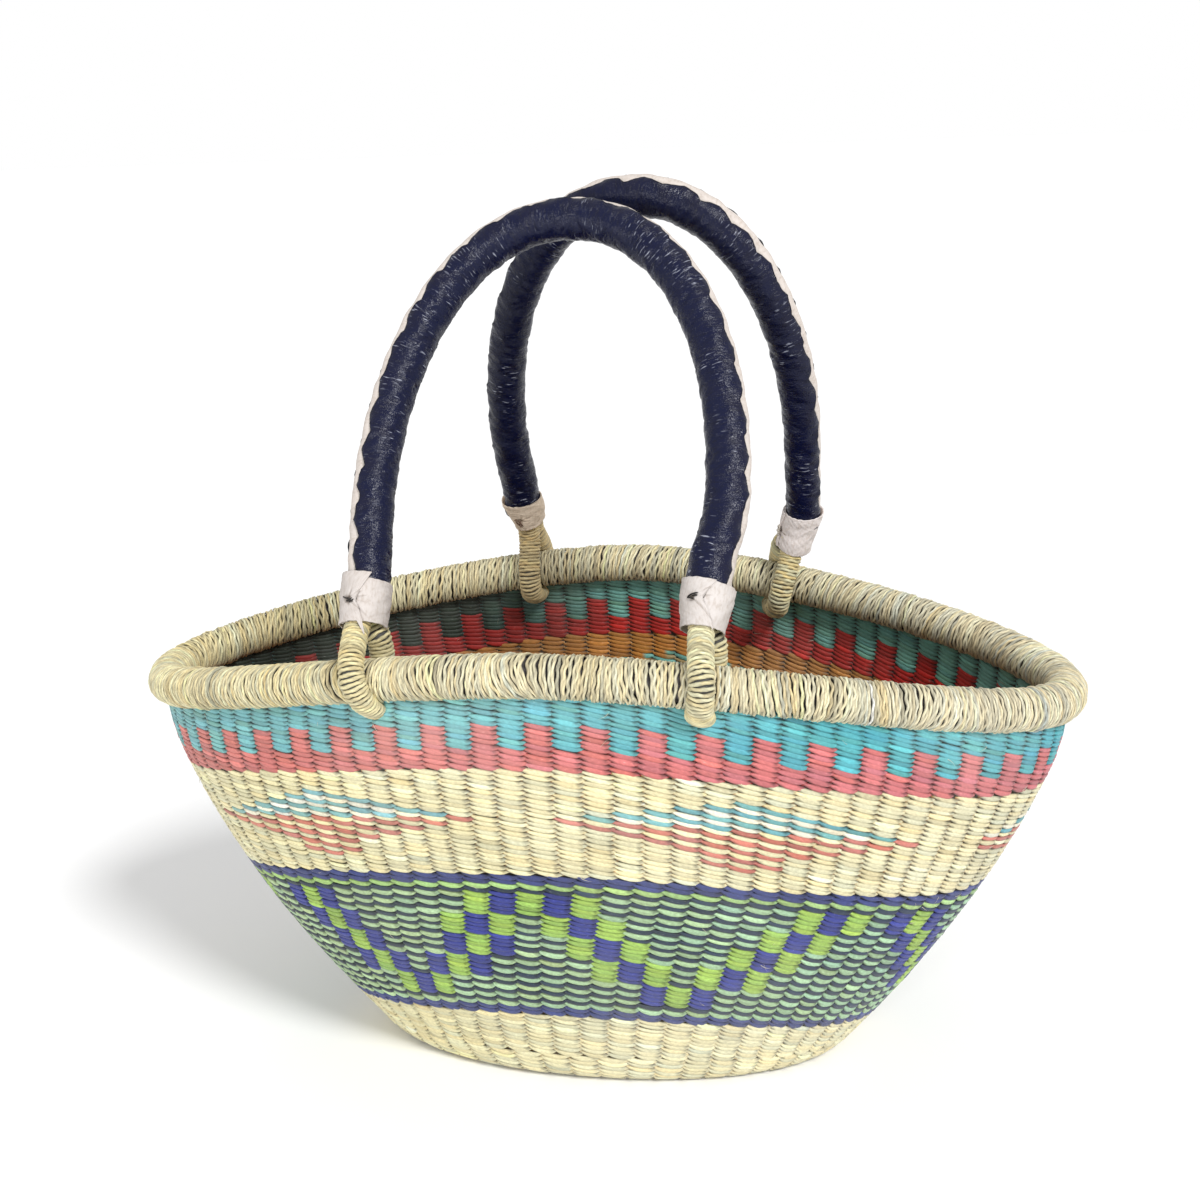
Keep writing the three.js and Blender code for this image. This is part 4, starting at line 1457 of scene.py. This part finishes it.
    def _cuff_spots(
        self, end: int, share: Array, turn: Array, proud: Array, height: Array | float = 0.0
    ) -> Array:
        """Places on the cuff, in the handle's own frame.

        Args:
            end: -1 for the left foot and 1 for the right one.
            share: place up the cuff, from 0 to 1.
            turn: angle round it, from its right.
            proud: how far outside the cuff's inner face each place is.
            height: how far above its even height each place is.

        Returns:
            One point for each pair of places.
        """
        style, sizes = self._style(end), self.sizes
        rise = clamp(share / 0.72)
        rise = rise**2 * (3 - 2 * rise)
        tube = sizes.sleeve_radius * self.girths[0 if end < 0 else -1][1] + 0.1
        half_x = lerp(style.half_low, tube, rise)
        half_y = lerp(sizes.leg_offset + sizes.rope_radius - 0.3, tube, rise)
        middle = end * self.foot_half + lerp(style.cuff_shift, style.sleeve_shift, share)
        x = middle + (half_x + proud) * np.cos(turn)
        y = (half_y + proud) * np.sin(turn)
        z = sizes.cuff_bottom + style.shorter * (1 - share) + sizes.cuff_length * share + height
        return np.stack(np.broadcast_arrays(x, y, z), -1)

    def _knot(self, end: int) -> None:
        """Ties the thread that holds the cuff."""
        points, radius = 14, 0.36
        sizes, style, draft = self.sizes, self._style(end), MeshDraft()
        rng = np.random.default_rng(self.seed + 17 + end)
        tint = np.tile(linear(style.thread), (1, points, 1))
        share = np.linspace(0, 1, points)
        arch = np.sin(math.pi * share)
        for x0, z0, x1, z1 in style.knot.value:
            turn = math.radians(style.knot_place[0]) + lerp(x0, x1, share) / sizes.cuff_radius
            rise = lerp(z0, z1, share) + 0.5 * rng.normal() * arch
            proud = 2.2 * sizes.cuff_leather + 0.3 + (0.5 + 0.3 * rng.random()) * arch
            up = style.knot_place[1] + rise / sizes.cuff_length
            draft.add_tubes(self._thread(self._cuff_spots(end, up, turn, proud), radius), tint)
        self._settle(draft, "cuff_knot", "dark_thread", end)

    def _thread(self, path: Array, radius: float) -> Array:
        """A thin round thread along a path, with its two ends drawn to a point."""
        ahead = unit(np.gradient(path, axis=0))
        first = unit(np.cross(ahead, [0.3, 0.5, 0.8]))
        taper = np.sqrt(clamp(1.02 - np.linspace(-1, 1, len(path)) ** 4))[:, None, None]
        ring = spokes(first, np.cross(ahead, first), circle(6)) * radius * taper
        return self.placement.out_of(path[:, None] + ring)[None]


class NodeKit:
    """Adds nodes to a tree and links them, with a few words for each."""

    def __init__(self, tree: bpy.types.NodeTree) -> None:
        """Takes the tree that the nodes go into."""
        self.tree = tree
        self.count = 0

    def add(self, kind: str, links: dict | None = None, **settings: object) -> bpy.types.Node:
        """Adds one node.

        Args:
            kind: the node's type in Blender.
            links: for each input's name or number, an output to link or a value to set.
            settings: the node's own options.

        Returns:
            The new node.
        """
        node = self.tree.nodes.new(kind)
        node.location = (220 * (self.count % 8), -260 * (self.count // 8))
        self.count += 1
        for name, value in settings.items():
            setattr(node, name, value)
        self.fill(node, links or {})
        return node

    def fill(self, node: bpy.types.Node, links: dict) -> None:
        """Links outputs to a node's inputs, or sets them to plain values."""
        for key, value in links.items():
            if isinstance(value, bpy.types.NodeSocket):
                self.tree.links.new(value, node.inputs[key])
            else:
                node.inputs[key].default_value = value

    def math(self, operation: str, first: object, second: object) -> object:
        """A sum or other operation on two values."""
        return self.add("ShaderNodeMath", {0: first, 1: second}, operation=operation).outputs[0]

    def times(self, first: object, second: object) -> object:
        """Two values multiplied."""
        return self.math("MULTIPLY", first, second)

    def mix(self, share: object, first: object, second: object, kind: str = "MIX") -> object:
        """A blend of two colours."""
        links = {0: share, 6: first, 7: second}
        return self.add("ShaderNodeMix", links, data_type="RGBA", blend_type=kind).outputs[2]

    def ramp(self, value: object, *stops: tuple[float, float]) -> object:
        """A value taken through a few stops, each a place and a level."""
        node = self.add("ShaderNodeValToRGB", {0: value})
        ramp = node.color_ramp
        ramp.elements[0].position, ramp.elements[1].position = stops[0][0], stops[-1][0]
        for place, _ in stops[1:-1]:
            ramp.elements.new(place)
        for element, (_, level) in zip(ramp.elements, stops):
            element.color = (level, level, level, 1)
        return node.outputs[0]

    def noise(self, vector: object, scale: float, detail: float = 3.0, roughness: float = 0.55) -> object:
        """Soft noise from 0 to 1."""
        links = {"Vector": vector, "Scale": scale, "Detail": detail, "Roughness": roughness}
        return self.add("ShaderNodeTexNoise", links).outputs[0]

    def stretched(self, vector: object, scale: tuple[float, float, float]) -> object:
        """A place scaled by its own amount each way."""
        return self.add("ShaderNodeMapping", {"Vector": vector, "Scale": scale}).outputs[0]

    def place(self) -> object:
        """The place on the object."""
        return self.add("ShaderNodeTexCoord").outputs["Object"]

    def strand_place(self, along: float, across: float) -> object:
        """The place on the piece's own lengthwise map, scaled along and across."""
        strip = self.add("ShaderNodeUVMap", uv_map="fibre").outputs[0]
        return self.stretched(strip, (along, across, 1.0))

    def dye(self) -> object:
        """The colour that the mesh itself carries."""
        return self.add("ShaderNodeAttribute", attribute_name="dye").outputs["Color"]

    def bump(self, height: object, strength: float, distance: float) -> object:
        """A normal that follows a height, in metres."""
        links = {"Height": height, "Strength": strength, "Distance": distance}
        return self.add("ShaderNodeBump", links).outputs[0]


class EffectGroup:
    """A shader node group with named inputs and outputs, built once."""

    def __init__(self, name: str, inputs: dict[str, object], outputs: Sequence[str]) -> None:
        """Makes the group and its sockets.

        Args:
            name: the group's name.
            inputs: for each input its first value, a number or a colour.
            outputs: the outputs' names. The one called Colour gives a colour, others a value.
        """
        self.tree = bpy.data.node_groups.new(name, "ShaderNodeTree")
        for label, value in inputs.items():
            kind = "NodeSocketColor" if isinstance(value, tuple) else "NodeSocketFloat"
            socket = self.tree.interface.new_socket(label, in_out="INPUT", socket_type=kind)
            socket.default_value = value
        for label in outputs:
            kind = "NodeSocketColor" if label == "Colour" else "NodeSocketFloat"
            self.tree.interface.new_socket(label, in_out="OUTPUT", socket_type=kind)
        self.kit = NodeKit(self.tree)
        self.inputs = self.kit.add("NodeGroupInput").outputs
        self.output = self.kit.add("NodeGroupOutput")

    def give(self, **values: object) -> None:
        """Links values to the group's outputs."""
        self.kit.fill(self.output, values)

    def use(self, kit: NodeKit, **values: object) -> bpy.types.bpy_prop_collection:
        """Puts the group into a material with the material's own values and gives its outputs."""
        return kit.add("ShaderNodeGroup", values, node_tree=self.tree).outputs


class Effects:
    """The node groups that several finishes use."""

    def __init__(self) -> None:
        """Builds the three groups."""
        self.fibre = self._fibre()
        self.fading = self._fading()
        self.grain = self._grain()

    def _fibre(self) -> EffectGroup:
        """Streaks along a straw strand, from the strand's own lengthwise map: darker streaks, and glossier
        streaks whose paler colour is a painted highlight.
        """
        inputs = {"Dye": (0.8, 0.7, 0.4, 1.0), "Streaks": 0.3}
        group = EffectGroup("straw_fibre", inputs, ("Colour", "Roughness", "Height"))
        kit = group.kit
        streak = kit.noise(kit.strand_place(0.25, 5.0), 2.0, 4.0, 0.6)
        deep = kit.ramp(streak, (0.3, 0.0), (0.7, 1.0))
        shade = kit.times(kit.math("SUBTRACT", 1.0, deep), group.inputs["Streaks"])
        dark = kit.mix(shade, group.inputs["Dye"], (0.12, 0.08, 0.04, 1.0), "MULTIPLY")
        shine = kit.ramp(streak, (0.62, 0.0), (0.8, 1.0))
        # Painted highlight: the glossy streaks are mixed towards pale cream.
        light = kit.mix(kit.times(shine, 0.22), dark, (0.95, 0.93, 0.84, 1.0))
        rough = kit.math("SUBTRACT", 0.62, kit.times(shine, 0.2))
        group.give(Colour=light, Roughness=rough, Height=streak)
        return group

    def _fading(self) -> EffectGroup:
        """Broad fading and light soiling over a piece."""
        inputs = {"Colour": (0.8, 0.8, 0.8, 1.0), "Fade": 0.12, "Soil": 0.2}
        group = EffectGroup("fading", inputs, ("Colour",))
        kit = group.kit
        place = kit.place()
        broad = kit.ramp(kit.noise(place, 9.0, 2.0), (0.4, 0.0), (0.75, 1.0))
        pale = kit.times(broad, group.inputs["Fade"])
        faded = kit.mix(pale, group.inputs["Colour"], (0.9, 0.88, 0.8, 1.0))
        small = kit.ramp(kit.noise(place, 81.0, 3.0), (0.55, 0.0), (0.85, 1.0))
        soil = kit.times(small, group.inputs["Soil"])
        group.give(Colour=kit.mix(soil, faded, (0.35, 0.27, 0.16, 1.0), "MULTIPLY"))
        return group

    def _grain(self) -> EffectGroup:
        """Fine pebbled leather grain with short creases across the piece, a crease mask for painted shade
        and a mask of painted glints.
        """
        inputs = {"Pebble": 1400.0, "Crease": 1.0}
        group = EffectGroup("leather_grain", inputs, ("Height", "Mask", "Worn"))
        kit = group.kit
        place = kit.place()
        links = {"Vector": place, "Scale": group.inputs["Pebble"]}
        pebble = kit.add("ShaderNodeTexVoronoi", links).outputs["Distance"]
        spot = kit.strand_place(0.5, 7.0)
        sharp = kit.ramp(kit.noise(spot, 1.6, 4.0, 0.65), (0.35, 0.0), (0.5, 0.8), (0.62, 1.0))
        patch = kit.ramp(kit.noise(place, 45.0, 2.0), (0.47, 0.0), (0.6, 1.0))
        fine = kit.noise(kit.stretched(spot, (1.0, 0.75, 1.0)), 2.0, 1.5, 0.5)
        height = kit.math("ADD", kit.times(sharp, group.inputs["Crease"]), kit.times(pebble, 0.35))
        soil_and_glint = kit.times(patch, kit.ramp(fine, (0.63, 0.0), (0.7, 1.0)))
        group.give(Height=height, Mask=sharp, Worn=soil_and_glint)
        return group


def new_material(slot: str) -> tuple[bpy.types.Material, NodeKit, bpy.types.Node]:
    """Starts a material with a Principled shader.

    Args:
        slot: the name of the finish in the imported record.

    Returns:
        The material, a kit for its nodes and the shader.
    """
    made = bpy.data.materials.new(slot)
    made.use_nodes = True
    shader = next(node for node in made.node_tree.nodes if node.type == "BSDF_PRINCIPLED")
    return made, NodeKit(made.node_tree), shader


@dataclass(frozen=True)
class StrawFinish:
    """Satin straw, natural or dyed: the dye comes from the strand itself."""

    slot: str
    streaks: float = 0.35
    fade: float = 0.12
    soil: float = 0.2
    bump: float = 0.35
    depth: float = 0.0004

    def material(self, effects: Effects) -> bpy.types.Material:
        """Builds the material."""
        made, kit, shader = new_material(self.slot)
        fibre = effects.fibre.use(kit, Dye=kit.dye(), Streaks=self.streaks)
        faded = effects.fading.use(kit, Colour=fibre["Colour"], Fade=self.fade, Soil=self.soil)
        links = {
            "Base Color": faded["Colour"],
            "Roughness": fibre["Roughness"],
            "Normal": kit.bump(fibre["Height"], self.bump, self.depth),
            "Sheen Weight": 0.08,
            "Specular IOR Level": 0.45,
        }
        kit.fill(shader, links)
        return made


@dataclass(frozen=True)
class LeatherFinish:
    """Leather with creases: painted shade darkens the creases, painted glints pale some crease crests, and
    a little soil darkens it in spots.
    """

    slot: str
    colour: int
    crease_shade: int
    rough: float
    specular: float = 0.5
    pebble: float = 1400.0
    crease: float = 1.0
    bump: float = 0.5
    depth: float = 0.0004
    soil: float = 0.15
    glint_paint: float = 0.0

    def material(self, effects: Effects) -> bpy.types.Material:
        """Builds the material."""
        made, kit, shader = new_material(self.slot)
        grain = effects.grain.use(kit, Pebble=self.pebble, Crease=self.crease)
        main, crease_shade = (*linear(self.colour), 1.0), (*linear(self.crease_shade), 1.0)
        # Painted shade: the low parts of the creases take the darker crease colour.
        tone = kit.mix(1.0, kit.mix(grain["Mask"], crease_shade, main), kit.dye(), "MULTIPLY")
        # Painted glints: pale bluish streaks mixed into the colour along some crease crests.
        tone = kit.mix(kit.times(grain["Worn"], self.glint_paint), tone, (0.36, 0.38, 0.46, 1.0))
        soil_and_glint = effects.fading.use(kit, Colour=tone, Fade=0.0, Soil=self.soil)
        uneven = kit.noise(kit.place(), 120.0, 3.0)
        links = {
            "Base Color": soil_and_glint["Colour"],
            "Roughness": kit.math("ADD", self.rough - 0.12, kit.times(uneven, 0.24)),
            "Normal": kit.bump(grain["Height"], self.bump, self.depth),
            "Specular IOR Level": self.specular,
        }
        kit.fill(shader, links)
        return made


@dataclass(frozen=True)
class Studio:
    """A pale floor, soft lights and the camera. Lights and floor are in metres."""

    azimuth_degrees: float = 11.91
    elevation_degrees: float = 15.93
    roll_degrees: float = -2.34
    distance: float = 897.7
    target: tuple[float, float, float] = (1.78, 7.1, 237.49)
    lens: float = 53.59
    sensor: float = 36.0
    floor_half: float = 14.0
    floor_drop: float = 0.0004
    key_place: tuple[float, float, float] = (1.2, -1.3, 1.8)
    key_spread_degrees: float = 14
    key_strength: float = 2.3
    fill_place: tuple[float, float, float] = (-0.6, -2.2, 0.5)
    fill_size: float = 0.24
    fill_power: float = 13
    lit_point: tuple[float, float, float] = (0.0, 0.0, 0.2)
    air: float = 0.68

    def camera(self) -> None:
        """Sets the camera at the photograph's viewing angle."""
        azimuth, elevation = math.radians(self.azimuth_degrees), math.radians(self.elevation_degrees)
        flat = math.cos(elevation)
        back = Vector((math.sin(azimuth) * flat, -math.cos(azimuth) * flat, math.sin(elevation)))
        right = Vector((math.cos(azimuth), math.sin(azimuth), 0))
        up = back.cross(right)
        roll = math.radians(self.roll_degrees)
        tilted_right = right * math.cos(roll) + up * math.sin(roll)
        tilted_up = up * math.cos(roll) - right * math.sin(roll)
        place = (Vector(self.target) + back * self.distance) * MM
        data = bpy.data.cameras.new("camera")
        data.lens = self.lens
        data.sensor_width = self.sensor
        data.sensor_fit = "HORIZONTAL"
        data.clip_start = 0.01
        camera = bpy.data.objects.new("camera", data)
        turned = Matrix((tilted_right, tilted_up, back)).transposed().to_4x4()
        camera.matrix_world = Matrix.Translation(place) @ turned
        bpy.context.scene.collection.objects.link(camera)
        bpy.context.scene.camera = camera

    def floor(self) -> None:
        """Lays the pale floor that the basket stands on."""
        mesh = bpy.data.meshes.new("floor")
        half = self.floor_half
        corners = [(x * half, y * half, -self.floor_drop) for x, y in ((-1, -1), (1, -1), (1, 1), (-1, 1))]
        mesh.from_pydata(corners, [], [(0, 1, 2, 3)])
        made, kit, shader = new_material("studio_floor")
        patch = kit.noise(kit.place(), 3.0, 2.0)
        tone = kit.mix(patch, (0.93, 0.93, 0.93, 1.0), (0.95, 0.95, 0.95, 1.0))
        kit.fill(shader, {"Base Color": tone, "Roughness": 0.9, "Specular IOR Level": 0.1})
        mesh.materials.append(made)
        floor = bpy.data.objects.new("floor", mesh)
        bpy.context.scene.collection.objects.link(floor)

    def lights(self) -> None:
        """Hangs an even sun with soft shadows and a small lamp, both turned to the bag."""
        key = bpy.data.lights.new("key_light", "SUN")
        key.angle = math.radians(self.key_spread_degrees)
        key.energy = self.key_strength
        fill = bpy.data.lights.new("fill_light", "AREA")
        fill.size = self.fill_size
        fill.energy = self.fill_power
        for data, place in ((key, self.key_place), (fill, self.fill_place)):
            lamp = bpy.data.objects.new(data.name, data)
            towards = Vector(self.lit_point) - Vector(place)
            lamp.rotation_euler = towards.to_track_quat("-Z", "Y").to_euler()
            lamp.location = place
            bpy.context.scene.collection.objects.link(lamp)

    def surroundings(self) -> None:
        """Fills the air with pale light, which the camera sees as plain white."""
        world = bpy.data.worlds.new("studio_air")
        world.use_nodes = True
        kit = NodeKit(world.node_tree)
        seen = kit.add("ShaderNodeLightPath").outputs["Is Camera Ray"]
        strength = kit.math("ADD", self.air, kit.times(seen, 1 - self.air))
        links = {"Color": (1.0, 1.0, 1.0, 1.0), "Strength": strength}
        kit.fill(world.node_tree.nodes["Background"], links)
        bpy.context.scene.world = world
        bpy.context.scene.view_settings.view_transform = "Standard"

    def build(self) -> None:
        """Sets up camera, floor, lights and the pale surroundings."""
        self.camera()
        self.floor()
        self.lights()
        self.surroundings()


def weave_bands(shape: BasketShape) -> tuple[Band, ...]:
    """The woven bands from the bottom up, some of them in two pieces."""
    tip_heights = (shape.heel_top, 24, 103, 154.8, 166.6, 190.5)
    heel, natural, green, lozenge, coral, top = (shape.level(height) for height in tip_heights)
    green_high_rows, green_low_rows = 17, 16
    lozenge_high_rows, lozenge_low_rows = 12, 11
    green_middle = lerp(green, natural, green_high_rows / (green_high_rows + green_low_rows))
    lozenge_middle = lerp(lozenge, green, lozenge_high_rows / (lozenge_high_rows + lozenge_low_rows))
    straw, zigzag, lozenges, teeth = plain(Dye.NATURAL), Zigzag(), Lozenges(), Teeth()
    base = ("base_weave", "natural_straw")
    zigzagged = ("green_navy_band", "green_navy_straw")
    diamonds = ("lozenge_band", "natural_straw")
    return (
        Band("bottom_inner_weave", *base, -0.98, -0.66, 6, 30, straw),
        Band("bottom_middle_weave", *base, -0.66, -0.33, 6, 44, straw),
        Band("bottom_outer_weave", *base, -0.33, heel, 12, 56, straw),
        Band("lower_weave", "lower_natural_band", "natural_straw", heel, natural, 10, 62, straw),
        Band("green_low_weave", *zigzagged, natural, green_middle, green_low_rows, 76, zigzag, 17),
        Band("green_high_weave", *zigzagged, green_middle, green, green_high_rows, 76, zigzag),
        Band("lozenge_low_weave", *diamonds, green, lozenge_middle, lozenge_low_rows, 82, lozenges, 12),
        Band("lozenge_high_weave", *diamonds, lozenge_middle, lozenge, lozenge_high_rows, 82, lozenges),
        Band("coral_weave", "coral_band", "coral_straw", lozenge, coral, 5, 90, teeth, 11),
        Band("turquoise_weave", "turquoise_band", "turquoise_straw", coral, top, 11, 90, teeth),
    )


def handle_pair(frame: dict, shop: Workshop) -> tuple[Handle, Handle]:
    """The front and the back handle.

    Args:
        frame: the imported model.
        shop: what dresses their pieces.

    Returns:
        The two handles, not built yet.
    """
    joints = {joint["child"]: joint for joint in frame["joints"]}
    front = Handle(
        name="front",
        placement=Placement.from_joint(joints["front_handle"], outward=1, lean_degrees=31.2),
        foot_half=78.03, widest_half=84.0, height=227.6,
        seam=((0.0, -33), (0.3, -31), (0.42, -30), (0.5, -17), (0.65, -4), (1.0, 8)),
        girths=((0.0, 1.06), (0.5, 1.06), (1.0, 1.09)),
        feet=(FRONT_LEFT, FRONT_RIGHT), seed=31, shop=shop,
    )
    back = Handle(
        name="back",
        placement=Placement.from_joint(joints["back_handle"], outward=-1, lean_degrees=-15.5),
        foot_half=74.12, widest_half=79.5, height=218.5,
        seam=((0.0, 11), (0.35, 12), (0.5, 13), (0.7, 3), (0.85, 6), (1.0, 20)),
        girths=((0.0, 1.0), (0.3, 1.04), (0.6, 1.1), (0.8, 1.05), (1.0, 0.93)),
        feet=(BACK_LEFT, BACK_RIGHT), seed=61, shop=shop,
    )
    return front, back


def make_finishes() -> dict[str, bpy.types.Material]:
    """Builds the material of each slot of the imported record."""
    effects = Effects()
    finishes = (
        StrawFinish("natural_straw"),
        StrawFinish("green_navy_straw", streaks=0.45, fade=0.06),
        StrawFinish("coral_straw", streaks=0.3, fade=0.1),
        StrawFinish("turquoise_straw", streaks=0.3),
        StrawFinish("grass_bundle", streaks=0.6, soil=0.5),
        LeatherFinish(
            "navy_leather", 0x0C112E, 0x0A0E26, rough=0.25, specular=0.26, crease=0.3, bump=0.7,
            depth=0.0005, glint_paint=0.75,
        ),
        LeatherFinish("cream_leather", 0xCFC6BF, 0xBEB2A8, rough=0.72, crease=0.4, bump=0.25),
        LeatherFinish("dark_thread", 0xFFFFFF, 0xB0B0B0, rough=0.6, pebble=3000.0),
    )
    return {finish.slot: finish.material(effects) for finish in finishes}


def main() -> None:
    """Builds the studio and the basket's pieces in order."""
    logging.basicConfig(level=logging.INFO, format="%(name)s: %(message)s")
    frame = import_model()
    Studio().build()
    shop = Workshop(make_finishes())
    shape = BasketShape()
    weave = Weave(shape, shop)
    for band in weave_bands(shape):
        weave.build(band)
    WrappedRim(shape, shop).build()
    for handle in handle_pair(frame, shop):
        handle.build()
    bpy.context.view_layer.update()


if __name__ == "__main__":
    main()
